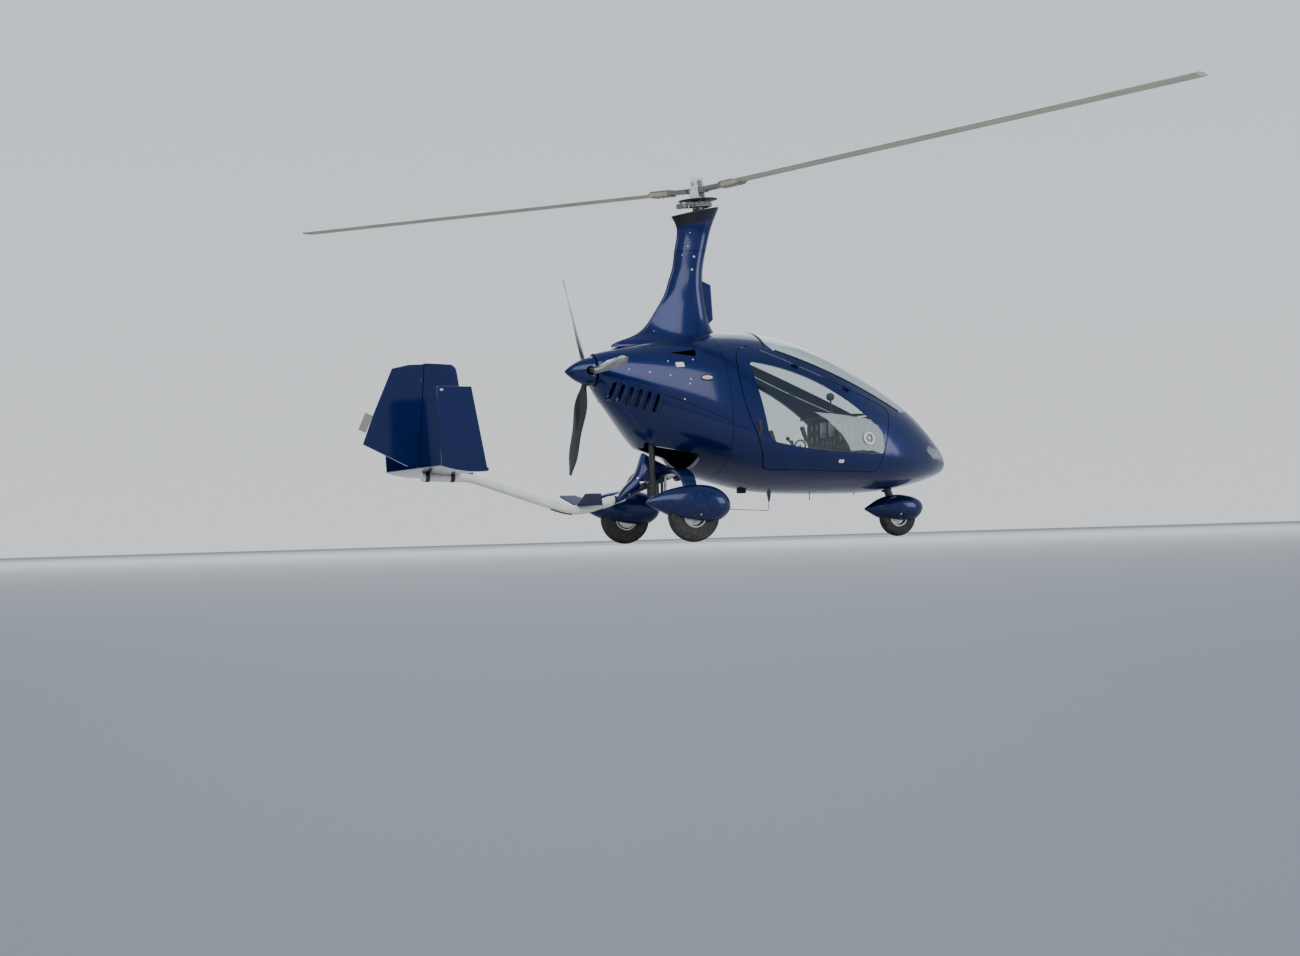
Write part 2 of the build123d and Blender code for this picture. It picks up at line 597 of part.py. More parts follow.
def spat(table, y, wheel_x, tyre_radius, tyre_width):
    """A hollow teardrop with a slot for the tyre in its floor."""
    outer_wires, inner_wires = [], []
    for x, top, low, half in table:
        middle, wall = (top + low) / 2, SPAT_WALL
        outer_wires.append(oval_wire(x, top, middle, low, half))
        if half > 3 * wall:
            inner_wires.append(oval_wire(x, top - wall, middle, low + wall, half - wall))
    shell = Solid.make_loft(outer_wires) - Solid.make_loft(inner_wires)
    half_slot = tyre_width / 2 + SPAT_TYRE_GAP
    reach = tyre_radius + SPAT_TYRE_GAP
    slot_top = tyre_radius + SPAT_SLOT_UP
    slot = box_between((wheel_x - reach, -half_slot, 0), (wheel_x + reach, half_slot, slot_top))
    slot = fillet(slot.edges().filter_by(Axis.Z), 25)
    return Pos(0, y, 0) * (shell - slot)


def spats(bow_room):
    """The three spats, each cut for what passes through it."""
    main = spat(MAIN_SPAT, -TRACK / 2, MAIN_WHEEL_X, MAIN_TYRE_RADIUS, MAIN_TYRE_WIDTH)
    main = main - bow_room - stub_axle(SEAT_GAP)
    PARTS["main_spats"] = group(*both_sides(main))
    nose = spat(NOSE_SPAT, 0.0, NOSE_WHEEL_X, NOSE_TYRE_RADIUS, NOSE_TYRE_WIDTH)
    nose -= fork_solid(SEAT_GAP)
    across = Vector(0, 150, 0)
    nose -= rod(NOSE_AXLE - across, NOSE_AXLE + across, NOSE_AXLE_RADIUS + TOW_HOLE_CLEAR)
    PARTS["spat_nose"] = nose


def fork_solid(gap=0.0):
    """The nose fork: crown, two blades and leg tube, or the room they take."""
    inside = NOSE_TYRE_WIDTH / 2 + FORK_GAP
    outside = inside + FORK_PLATE
    frame = Plane(origin=NOSE_AXLE, x_dir=(RAKE_UP.Z, 0, -RAKE_UP.X), z_dir=RAKE_UP)
    blade_low, width = -26 - gap, FORK_WIDTH / 2 + gap
    blade = box_between((-width, -outside - gap, blade_low), (width, -inside + gap, CROWN_HIGH))
    blade = fillet(blade.edges().filter_by(Axis.Y).group_by(Axis.Z)[0], FORK_WIDTH / 2 - 2)
    wide, across = width + 6, outside + gap
    crown = box_between((-wide, -across, CROWN_LOW - gap), (wide, across, CROWN_HIGH + gap))
    body = frame * (blade + mirror(blade, about=Plane.XZ) + crown)
    body += leg_rod(CROWN_HIGH - 1, LEG_TOP, LEG_RADIUS + gap)
    axle_half = 70.0
    reach = Vector(0, axle_half, 0)
    body += rod(NOSE_AXLE - reach, NOSE_AXLE + reach, NOSE_AXLE_RADIUS + gap)
    if gap == 0:
        body -= rod(NOSE_AXLE - 2 * reach, NOSE_AXLE + 2 * reach, NOSE_AXLE_BORE)
    return body


# Tail
PLATE_THICK = 16.0
HINGE_BOTTOM, HINGE_TOP = (-2022.0, 610.0), (-1967.0, 1350.0)
TAILPLANE_FRONT, TAILPLANE_REAR = (-1732.0, 556.0), (-2066.0, 588.0)
TAILPLANE_THICK, TAILPLANE_NOSE = 50.0, 13.0
FIN_THICK, RUDDER_NOSE, RUDDER_TAIL = 56.0, 18.0, 4.0
FIN_LIP, RUDDER_CLEAR = 4.0, 5.5
ENDPLATE_POINTS = ((-1728.0, 562.0), (-1831.0, 1141.0), (-2085.0, 1145.0), (-2062.0, 588.0))
FIN_POINTS = ((-1598.0, 500.0), (-1722.0, 1346.0), (-2100.0, 1362.0), (-2100.0, 500.0))
RUDDER_POINTS = (
    (-1900.0, 604.0), (-2105.0, 609.0), (-2444.0, 777.0),
    (-2202.0, 1320.0), (-2080.0, 1346.0), (-1900.0, 1352.0),
)
TAB_LOW, TAB_HIGH, TAB_DEEP, TAB_THICK = 855.0, 978.0, 60.0, 3.0


def tailplane_face(grow=0.0):
    """The tailplane's section: a round nose and two shallow arcs."""
    (xf, zf), (xr, zr) = TAILPLANE_FRONT, TAILPLANE_REAR
    third = 0.36
    xm, zm = xf + third * (xr - xf), zf + third * (zr - zf)
    half = TAILPLANE_THICK / 2 + grow
    nose = TAILPLANE_NOSE + grow
    edges = [
        ThreePointArc((xf, zf - nose), (xf + nose, zf), (xf, zf + nose)),
        ThreePointArc((xf, zf + nose), (xm, zm + half), (xr - grow, zr + 2 + grow)),
        Line((xr - grow, zr + 2 + grow), (xr - grow, zr - 2 - grow)),
        ThreePointArc((xr - grow, zr - 2 - grow), (xm, zm - half), (xf, zf - nose)),
    ]
    return make_face(edges)


def upright_wire(x_front, x_rear, z, half, rear_half):
    """A level section of the fin: round nose, gentle sides, blunt back."""
    nose = 10.0
    x_nose, x_wide = x_front - nose, x_front - 0.55 * (x_front - x_rear)
    front = Edge.make_three_point_arc((x_nose, nose, z), (x_front, 0, z), (x_nose, -nose, z))
    right = Edge.make_three_point_arc((x_nose, -nose, z), (x_wide, -half, z), (x_rear, -rear_half, z))
    left = Edge.make_three_point_arc((x_rear, rear_half, z), (x_wide, half, z), (x_nose, nose, z))
    back = Edge.make_line((x_rear, -rear_half, z), (x_rear, rear_half, z))
    return Wire([front, right, back, left])


def hinge_x(z):
    """The rudder's hinge line."""
    share = (z - HINGE_BOTTOM[1]) / (HINGE_TOP[1] - HINGE_BOTTOM[1])
    return HINGE_BOTTOM[0] + share * (HINGE_TOP[0] - HINGE_BOTTOM[0])


HINGE_LINE = Plane(
    origin=(HINGE_BOTTOM[0], 0, HINGE_BOTTOM[1]),
    x_dir=(0, -1, 0),
    z_dir=(HINGE_TOP[0] - HINGE_BOTTOM[0], 0, HINGE_TOP[1] - HINGE_BOTTOM[1]),
)
RUDDER_HINGES = (120.0, 620.0)
LUG_THICK, LUG_SLACK = 10.0, 5.0


def tail():
    """Tailplane, endplates, fin, rudder and trim tab."""
    half_span = TAIL_SPAN / 2
    plane = extrude(Plane.XZ.offset(-half_span) * tailplane_face(), amount=2 * half_span)
    plane_room = extrude(Plane.XZ.offset(-half_span - 1) * tailplane_face(SEAT_GAP), amount=2 * half_span + 2)
    tube_room = tube_solid(TUBE_RADIUS + SEAT_GAP)
    PARTS["tailplane"] = plane - tube_room

    plate_face = make_face(Polyline(*ENDPLATE_POINTS, close=True))
    plate_face = fillet(plate_face.vertices().group_by(Axis.Y)[-1], 16)
    plate_face = fillet(plate_face.vertices().sort_by(Axis.X)[:1], 16)
    plate = extrude(Plane.XZ.offset(half_span - PLATE_THICK) * plate_face, amount=PLATE_THICK)
    plate = fillet(plate.edges().filter_by(lambda e: e.center().Y < -half_span + 1), 6)
    PARTS["endplates"] = group(*both_sides(plate - plane_room))

    cove = RUDDER_NOSE + RUDDER_CLEAR
    bottom = upright_wire(-1586, hinge_x(500) + FIN_LIP, 500, FIN_THICK / 2, cove + 3)
    top = upright_wire(-1716, hinge_x(1380) + FIN_LIP, 1380, FIN_THICK / 2, cove + 3)
    fin = Solid.make_loft([bottom, top], ruled=True)
    fin -= HINGE_LINE.offset(-200) * Cylinder(cove, 1200, align=(Align.CENTER, Align.CENTER, Align.MIN))
    fin_face = fillet(make_face(Polyline(*FIN_POINTS, close=True)).vertices(), 60)
    fin &= side_prism(fin_face, 900, -900)
    fin -= plane_room
    fin -= tube_room
    fin = max(fin.solids(), key=lambda solid: solid.volume)

    long = math.dist(HINGE_TOP, HINGE_BOTTOM)
    sections = []
    for height, reach in ((-60.0, 480.0), (long + 40.0, 225.0)):
        nose = ThreePointArc((RUDDER_NOSE, 0), (0, RUDDER_NOSE), (-RUDDER_NOSE, 0))
        right = Line((-RUDDER_NOSE, 0), (-RUDDER_TAIL, -reach))
        back = Line((-RUDDER_TAIL, -reach), (RUDDER_TAIL, -reach))
        left = Line((RUDDER_TAIL, -reach), (RUDDER_NOSE, 0))
        wire = Wire([*nose.edges(), *right.edges(), *back.edges(), *left.edges()])
        sections.append(HINGE_LINE.offset(height) * wire)
    rudder = Solid.make_loft(sections, ruled=True)
    rudder_face = fillet(make_face(Polyline(*RUDDER_POINTS, close=True)).vertices(), 8)
    rudder &= side_prism(rudder_face, 900, -900)
    for height in RUDDER_HINGES:
        lug_frame = HINGE_LINE.offset(height)
        lug = Pos(0, 22, 0) * Box(18, 44, LUG_THICK) + Cylinder(9, LUG_THICK)
        pin = Cylinder(4, LUG_THICK + 2 * (LUG_SLACK + 14))
        fin += lug_frame * (lug + pin)
        notch = Pos(0, 30, 0) * Box(60, 84, LUG_THICK + 2 * LUG_SLACK)
        bore = Cylinder(4 + RUNNING_FIT, LUG_THICK + 2 * (LUG_SLACK + 16))
        rudder -= lug_frame * notch
        rudder -= lug_frame * bore
    PARTS["fin"] = fin
    PARTS["rudder"] = rudder

    (x0, z0), (x1, z1) = RUDDER_POINTS[2], RUDDER_POINTS[3]
    lean = (x1 - x0) / (z1 - z0)
    run = Vector(lean, 0, 1).normalized()
    aft = Vector(-run.Z, 0, run.X)
    low = Vector(x0 + lean * (TAB_LOW - z0), 0, TAB_LOW)
    high = Vector(x0 + lean * (TAB_HIGH - z0), 0, TAB_HIGH)
    corners = [(p.X, p.Z) for p in (low, high, high + aft * TAB_DEEP, low + aft * TAB_DEEP)]
    tab_face = make_face(Polyline(*corners, close=True))
    tab = extrude(Plane.XZ.offset(-TAB_THICK / 2) * tab_face, amount=TAB_THICK)
    PARTS["rudder_trim_tab"] = tab - rudder


# Rotor head and rotor
ROTOR_TILT = 3.04
ROTOR_HEADING = -59.4
CONE = 2.7
PIVOT_BELOW_HUB = 147.0
NORMAL = Vector(-math.sin(math.radians(ROTOR_TILT)), 0, math.cos(math.radians(ROTOR_TILT)))
HUB = Vector(ROTOR_HUB_X, 0, ROTOR_HUB_Z)
PIVOT = HUB - NORMAL * PIVOT_BELOW_HUB
HEAD_PLANE = Plane(origin=PIVOT, x_dir=(NORMAL.Z, 0, -NORMAL.X), z_dir=NORMAL)
POST_HALF = 35.0
TRUNNION_RADIUS, CHEEK_INSIDE, CHEEK_THICK, CHEEK_HALF = 7.0, 34.0, 9.0, 17.0
CROSS_HALF = 24.0
HEAD_PLATE_LOW, HEAD_PLATE_THICK = 40.0, 12.0
FRAME_REAR, FRAME_FRONT, FRAME_HALF = -158.0, 88.0, 60.0
FRAME_RIB, FRAME_RIB_LOW, FRAME_BLOCK, FRAME_BLOCK_LOW = 8.0, 20.0, 30.0, 15.0
ROTOR_SHAFT_RADIUS = 20.0
GEAR_LOW, GEAR_THICK, GEAR_RADIUS = 68.0, 9.0, 145.0
TOWER_TOP, BOLT_ABOVE_HUB = 251.0, 53.0
CHEEK_APART, BAR_HALF, TEETER_BOLT_RADIUS = 36.0, 30.0, 8.0
TOWER_FOOT, TOWER_CROWN = 40.0, 28.0
ARM_START, ARM_END, CLAMP_HALF, CLAMP_GAP = 74.0, 252.0, 46.0, 32.0
BLADE_CHORD, BLADE_ROOT, BLADE_DEPTH = 200.0, 420.0, 24.0


def rotor_head():
    """Mast post, gimbal cross, bearing plate, ring gear and teeter tower."""
    cheek_low = -CHEEK_HALF - 26.0
    post_top = PIVOT.Z - 44.0
    cheek_outside = CHEEK_INSIDE + CHEEK_THICK
    post_low = (PIVOT.X - POST_HALF, -POST_HALF, CUP_FLOOR_Z)
    post = box_between(post_low, (PIVOT.X + POST_HALF, POST_HALF, post_top))
    cheek = box_between((-CHEEK_HALF, CHEEK_INSIDE, cheek_low), (CHEEK_HALF, cheek_outside, CHEEK_HALF))
    cheek = fillet(cheek.edges().filter_by(Axis.Y).group_by(Axis.Z)[-1], CHEEK_HALF - 1)
    side_bore = Rot(90, 0, 0) * Cylinder(TRUNNION_RADIUS + RUNNING_FIT, 200)
    shelf_low = (-POST_HALF, -cheek_outside, cheek_low - 6)
    shelf = box_between(shelf_low, (POST_HALF, cheek_outside, cheek_low + 4))
    upright = Plane(origin=PIVOT) * (cheek + mirror(cheek, about=Plane.XZ) + shelf - side_bore)
    PARTS["mast_head_post"] = post + upright

    cross = Box(2 * CROSS_HALF, 2 * CROSS_HALF, 2 * CROSS_HALF)
    cross = chamfer(cross.edges(), 5)
    trunnion_long = 2 * (CHEEK_INSIDE + CHEEK_THICK + 6)
    cross += Rot(90, 0, 0) * Cylinder(TRUNNION_RADIUS, trunnion_long)
    PARTS["gimbal_cross"] = HEAD_PLANE * (cross + Rot(0, 90, 0) * Cylinder(TRUNNION_RADIUS, trunnion_long))

    lug_low = (CHEEK_INSIDE, -CHEEK_HALF, -CHEEK_HALF)
    lug = box_between(lug_low, (cheek_outside, CHEEK_HALF, HEAD_PLATE_LOW))
    lug = fillet(lug.edges().filter_by(Axis.X).group_by(Axis.Z)[0], CHEEK_HALF - 1)
    plate_top = HEAD_PLATE_LOW + HEAD_PLATE_THICK
    plate = box_between((FRAME_REAR, -FRAME_HALF, HEAD_PLATE_LOW), (FRAME_FRONT, FRAME_HALF, plate_top))
    rib_low = (FRAME_REAR, FRAME_HALF - FRAME_RIB, FRAME_RIB_LOW)
    rib = box_between(rib_low, (FRAME_FRONT, FRAME_HALF, plate_top))
    plate += rib + mirror(rib, about=Plane.XZ)
    for start in (FRAME_REAR, FRAME_FRONT - FRAME_BLOCK + 4):
        block_low = (start, 10 - FRAME_HALF, FRAME_BLOCK_LOW)
        plate += box_between(block_low, (start + FRAME_BLOCK - 4, FRAME_HALF - 10, plate_top))
    for x in (-118, -88, -58):
        plate -= Pos(x, 0, 32) * Rot(90, 0, 0) * Cylinder(7, 300)
    plate -= box_between((-112, -34, 0), (-58, 34, 100))
    housing = Pos(0, 0, plate_top + 5) * Cylinder(46, 10)
    head = lug + mirror(lug, about=Plane.YZ) + plate + housing
    head -= Rot(0, 90, 0) * Cylinder(TRUNNION_RADIUS + RUNNING_FIT, 200)
    head -= Pos(0, 0, 60) * Cylinder(ROTOR_SHAFT_RADIUS + RUNNING_FIT, 60)
    PARTS["rotor_bearing_plate"] = HEAD_PLANE * head

    gear = Pos(0, 0, GEAR_LOW + GEAR_THICK / 2) * Cylinder(GEAR_RADIUS, GEAR_THICK)
    gear -= Pos(0, 0, GEAR_LOW) * Cylinder(ROTOR_SHAFT_RADIUS + SEAT_GAP, 60)
    PARTS["ring_gear"] = HEAD_PLANE * gear

    base = GEAR_LOW + GEAR_THICK
    spin = HEAD_PLANE * Rot(0, 0, ROTOR_HEADING)
    tower = box_between((-62, -54, base), (62, 54, base + 10))
    foot, crown = base + 5, TOWER_TOP - 4
    foot_left, foot_right = (-TOWER_FOOT, foot), (TOWER_FOOT, foot)
    crown_left, crown_right = (-TOWER_CROWN, crown), (TOWER_CROWN, crown)
    cheek_face = make_face(Polyline(foot_left, foot_right, crown_right, crown_left, close=True))
    cheek_face = fillet(cheek_face.vertices().group_by(Axis.Y)[-1], 14)
    side = extrude(Plane.XZ.offset(CHEEK_APART) * cheek_face, amount=10)
    tower += side + mirror(side, about=Plane.XZ)
    shaft = Cylinder(ROTOR_SHAFT_RADIUS, base - HEAD_PLATE_LOW - 2)
    tower += Pos(0, 0, (base + HEAD_PLATE_LOW) / 2 + 2) * shaft
    bolt = Rot(90, 0, 0) * Cylinder(TEETER_BOLT_RADIUS, 2 * CHEEK_APART + 34)
    tower += Pos(0, 0, PIVOT_BELOW_HUB + BOLT_ABOVE_HUB) * bolt
    PARTS["teeter_tower"] = spin * tower


ROTOR_PLANE = HEAD_PLANE.offset(PIVOT_BELOW_HUB) * Rot(0, 0, ROTOR_HEADING)


def blade_wire(x, chord, depth):
    """A blade section square to the span, its nose a quarter chord ahead of the span line."""
    lead, trail = 0.25 * chord, -0.75 * chord
    brow, chin = (x, lead - 6, 0.3 * depth), (x, lead - 6, -0.22 * depth)
    tail_top, tail_low = (x, trail, 1.2), (x, trail, -1.2)
    nose = Edge.make_three_point_arc(brow, (x, lead, 0), chin)
    under = Edge.make_three_point_arc(chin, (x, 0.05 * chord, -0.36 * depth), tail_low)
    back = Edge.make_line(tail_low, tail_top)
    over = Edge.make_three_point_arc(tail_top, (x, 0.02 * chord, 0.64 * depth), brow)
    return Wire([nose, under, back, over])


def rotor():
    """The hub bar on its teeter bolt, and the two blades."""
    bar = Box(2 * ARM_START + 20, 2 * BAR_HALF, 40) + Pos(0, 0, 46) * Box(48, 2 * BAR_HALF, 60)
    bar -= Pos(0, 0, BOLT_ABOVE_HUB) * Rot(90, 0, 0) * Cylinder(TEETER_BOLT_RADIUS + RUNNING_FIT, 200)
    slot = CLAMP_GAP / 2
    blades = []
    for turn in (0, 180):
        place = Rot(0, 0, turn) * Rot(0, -CONE, 0)
        arm = box_between((ARM_START, -CLAMP_HALF, -14), (ARM_END, CLAMP_HALF, 14))
        clamp = box_between((ARM_END - 20, -CLAMP_HALF, slot), (BLADE_ROOT, CLAMP_HALF, slot + 8))
        heel = box_between((ARM_END - 20, -CLAMP_HALF, 10), (ARM_END, CLAMP_HALF, slot + 8))
        clamp += heel
        bar += place * (arm + clamp + mirror(clamp, about=Plane.XY))
        root_low = (ARM_END + SEAT_GAP, 2 - CLAMP_HALF, SEAT_GAP - slot)
        root = box_between(root_low, (BLADE_ROOT + 20, CLAMP_HALF - 2, slot - SEAT_GAP))
        inboard = blade_wire(BLADE_ROOT + 10, BLADE_CHORD, BLADE_DEPTH)
        outboard = blade_wire(ROTOR_RADIUS, BLADE_CHORD, BLADE_DEPTH)
        span = Solid.make_loft([inboard, outboard], ruled=True)
        blades.append(ROTOR_PLANE * (place * (root + span)))
    PARTS["hub_bar"] = ROTOR_PLANE * bar
    PARTS["rotor_blades"] = group(*blades)


# Propeller
PROP_COLUMNS = ("share of radius", "chord", "pitch angle", "thickness")
PROP = [
    (0.11, 44.0, 62.0, 30.0),
    (0.165, 50.0, 58.0, 26.0),
    (0.25, 88.0, 46.0, 17.0),
    (0.42, 112.0, 35.0, 13.0),
    (0.69, 100.0, 24.0, 9.0),
    (0.91, 70.0, 18.0, 6.0),
    (1.0, 38.0, 16.0, 4.0),
]
PROP_FIRST, PROP_ROOT_RADIUS, SPINNER_HOLE_RADIUS = 1.6, 19.0, 33.0
SPINNER_RADIUS, SPINNER_WALL, SPINNER_TIP_X = 114.0, 4.0, -876.0
HUB_RADIUS, HUB_REAR_X = 58.0, -738.0


def propeller():
    """Hub with its spinner, and three blades."""
    centre = Vector(PROP_HUB_X, 0, PROP_AXIS_Z)
    blades, sockets = [], []
    for number in range(3):
        angle = PROP_FIRST + 120 * number
        place = Pos(*centre) * Rot(-angle, 0, 0) * Rot(0, 0, 180)
        wires = []
        for share, chord, pitch, thick in PROP:
            a = -math.radians(pitch)
            along = Vector(math.sin(a), 0, math.cos(a))
            across = Vector(math.cos(a), 0, -math.sin(a))
            middle = Vector(0, share * PROP_RADIUS, 0)
            front, rear = middle + along * chord / 2, middle - along * chord / 2
            over = Edge.make_three_point_arc(front, middle + across * thick * 0.65, rear)
            under = Edge.make_three_point_arc(rear, middle - across * thick * 0.35, front)
            wires.append(Wire([over, under]))
        blade = Solid.make_loft(wires)
        root = rod((0, 28, 0), (0, 120, 0), PROP_ROOT_RADIUS)
        blades.append(place * (blade + root))
        sockets.append(place)
    PARTS["prop_blades"] = group(*blades)
    hub = rod((PROP_FACE_X + 0.5, 0, PROP_AXIS_Z), (HUB_REAR_X, 0, PROP_AXIS_Z), HUB_RADIUS)
    hub += rod((PROP_FACE_X + 4, 0, PROP_AXIS_Z), (PROP_FACE_X, 0, PROP_AXIS_Z), SPINNER_RADIUS)
    bore_end = (PROP_FACE_X - 31, 0, PROP_AXIS_Z)
    hub -= rod((PROP_FACE_X + 50, 0, PROP_AXIS_Z), bore_end, SHAFT_RADIUS + RUNNING_FIT)
    base, tip, wall = SPINNER_RADIUS, SPINNER_TIP_X - PROP_FACE_X, SPINNER_WALL
    shell_face = make_face([
        ThreePointArc((0, base), (0.52 * tip, 0.68 * base), (tip, 0)),
        Line((tip, 0), (tip + 2 * wall, 0)),
        ThreePointArc((tip + 2 * wall, 0), (0.52 * tip, 0.68 * base - wall), (0, base - wall)),
        Line((0, base - wall), (0, base)),
    ])
    spinner = Pos(PROP_FACE_X, 0, PROP_AXIS_Z) * revolve(Plane.XZ * shell_face, Axis.X)
    for socket in sockets:
        hub -= socket * rod((0, 20, 0), (0, 200, 0), PROP_ROOT_RADIUS + SEAT_GAP)
        spinner -= socket * rod((0, 60, 0), (0, 250, 0), SPINNER_HOLE_RADIUS)
    PARTS["prop_hub"] = hub
    PARTS["prop_spinner"] = spinner


# Cabin fittings
def cabin_fittings():
    """Seats, instrument panel and console."""
    bench_top = BENCH_Z + FLOOR_THICK
    cushion = box_between((430, -520, bench_top + SEAT_GAP), (BENCH_FRONT_X - 6, -66, bench_top + 88))
    cushion = fillet(cushion.edges(), 24)
    foot = bench_top + SEAT_GAP
    back_points = ((425, 668), (345, 1235), (265, 1228), (330, foot), (424, foot))
    back_face = make_face(Polyline(*back_points, close=True))
    back_face = fillet(back_face.vertices().group_by(Axis.Y)[-1], 30)
    back = extrude(Plane.XZ.offset(80) * back_face, amount=355)
    PARTS["seat_cushions"] = group(*both_sides(cushion))
    PARTS["seat_backs"] = group(*both_sides(back))
    panel = box_between((1296, -390, 690), (1326, 390, 930))
    panel = fillet(panel.edges().filter_by(Axis.X), 60)
    hood = box_between((1240, -400, 929), (1420, 400, 942))
    console = box_between((BENCH_FRONT_X, -70, FLOOR_Z + FLOOR_THICK), (1400, 70, 640))
    pedestal = box_between((1290, -70, 639), (1332, 70, 720))
    PARTS["instrument_console"] = panel + hood + console + pedestal


def belly_aerial():
    """The bent whip aerial under the cabin."""
    path = FilletPolyline((767, 0, 300), (760, 0, 224), (440, 0, 241), radius=14)
    whip = sweep(Plane(origin=path @ 0, z_dir=path % 0) * Circle(2.5), path=path)
    base_face = make_face(Polyline((748, 380), (790, 380), (772, 292), (762, 292), close=True))
    base = extrude(Plane.XZ.offset(-5) * base_face, amount=10)
    PARTS["belly_aerial"] = (base + whip) - HULL_SEAT


cabin_pieces()
engine_bay()
mast_fairing()
spats(undercarriage_frame())
wheels()
PARTS["nose_fork"] = fork_solid()
tail()
rotor_head()
rotor()
propeller()
cabin_fittings()
belly_aerial()

os.makedirs("parts", exist_ok=True)
for name, shape in PARTS.items():
    export_step(shape, "parts/" + name + ".step")
    print(name, len(shape.solids()), round(shape.volume / 1e6, 3))
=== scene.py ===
"""Looks of the enclosed two-seat gyrocopter: finishes, fittings, cabin, lights and camera."""

import json
import math

import bmesh
import bpy
from mathutils import Matrix, Vector
from mathutils.bvhtree import BVHTree


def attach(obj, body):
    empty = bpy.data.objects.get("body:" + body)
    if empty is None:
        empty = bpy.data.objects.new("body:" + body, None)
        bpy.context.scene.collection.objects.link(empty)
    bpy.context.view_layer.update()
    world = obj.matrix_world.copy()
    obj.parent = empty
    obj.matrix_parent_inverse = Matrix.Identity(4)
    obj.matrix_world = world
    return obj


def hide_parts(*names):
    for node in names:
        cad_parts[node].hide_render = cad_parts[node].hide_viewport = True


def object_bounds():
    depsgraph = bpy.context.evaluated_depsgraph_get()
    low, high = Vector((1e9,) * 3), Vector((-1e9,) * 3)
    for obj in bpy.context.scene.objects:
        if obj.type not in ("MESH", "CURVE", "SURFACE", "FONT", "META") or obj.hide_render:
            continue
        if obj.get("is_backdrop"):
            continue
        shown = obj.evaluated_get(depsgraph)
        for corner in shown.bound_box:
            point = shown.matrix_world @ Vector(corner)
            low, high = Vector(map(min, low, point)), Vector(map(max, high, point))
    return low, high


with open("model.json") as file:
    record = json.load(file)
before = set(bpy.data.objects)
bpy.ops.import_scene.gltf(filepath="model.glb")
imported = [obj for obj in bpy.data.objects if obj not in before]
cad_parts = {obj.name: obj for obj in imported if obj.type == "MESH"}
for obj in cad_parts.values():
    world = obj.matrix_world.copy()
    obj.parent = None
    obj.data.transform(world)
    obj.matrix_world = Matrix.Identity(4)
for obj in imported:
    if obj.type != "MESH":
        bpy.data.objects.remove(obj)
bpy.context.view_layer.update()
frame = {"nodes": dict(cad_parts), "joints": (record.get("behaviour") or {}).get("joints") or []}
NODES = frame["nodes"]

# Painted body
# The cabin shell, doors, cowls, mast fairing, spats, spine, bow leg and tail are composite mouldings,
# sprayed blue with fine metal flake under clear lacquer. Dark gaps mark where cowls, cabin and the
# halves of the mast fairing meet, and the cup on the mast has a darker collar.
COWL_SPLIT = (Vector((0.230, 0, 0.878)), Vector((-0.700, 0, 1.308)))
BULKHEAD_X = 0.2296
HULL_BELLY, HULL_TOP, HULL_TAIL = 0.36, 1.62, -0.66
MAST_JOINT = 2.205
CUP_SLOPE, CUP_EDGE, COLLAR_DEEP = 0.2037, 2.4643, 0.085
GAP_CORE, GAP_RIM = 0.0012, 0.0026
SHARP = 0.001


def feed(socket, value):
    """Link a signal to a socket, or set a plain value on it."""
    if isinstance(value, Signal):
        socket.id_data.links.new(value.socket, socket)
    else:
        socket.default_value = value


class Signal:
    """A shader socket that plain arithmetic works on, so that a finish reads like a formula."""

    def __init__(self, socket):
        self.socket = socket

    def node(self, kind, inputs, output=0, **settings):
        """Any other node of the same tree: its inputs by index or name, its settings by name."""
        made = self.socket.id_data.nodes.new(kind)
        for name, value in settings.items():
            setattr(made, name, value)
        for key, value in inputs.items():
            feed(made.inputs[key], value)
        return Signal(made.outputs[output])

    def maths(self, operation, first, second=0.0):
        """One Math node."""
        return self.node("ShaderNodeMath", {0: first, 1: second}, operation=operation)

    def __add__(self, other):
        return self.maths("ADD", self, other)

    def __radd__(self, other):
        return self.maths("ADD", other, self)

    def __sub__(self, other):
        return self.maths("SUBTRACT", self, other)

    def __rsub__(self, other):
        return self.maths("SUBTRACT", other, self)

    def __mul__(self, other):
        return self.maths("MULTIPLY", self, other)

    def __rmul__(self, other):
        return self.maths("MULTIPLY", other, self)

    def __abs__(self):
        return self.maths("ABSOLUTE", self)

    def step(self, low, high):
        """0 below low, 1 above high, smooth between."""
        inputs = {"Value": self, "From Min": low, "From Max": high}
        return self.node("ShaderNodeMapRange", inputs, interpolation_type="SMOOTHSTEP")

    def larger(self, other):
        return self.maths("MAXIMUM", self, other)

    def smaller(self, other):
        return self.maths("MINIMUM", self, other)


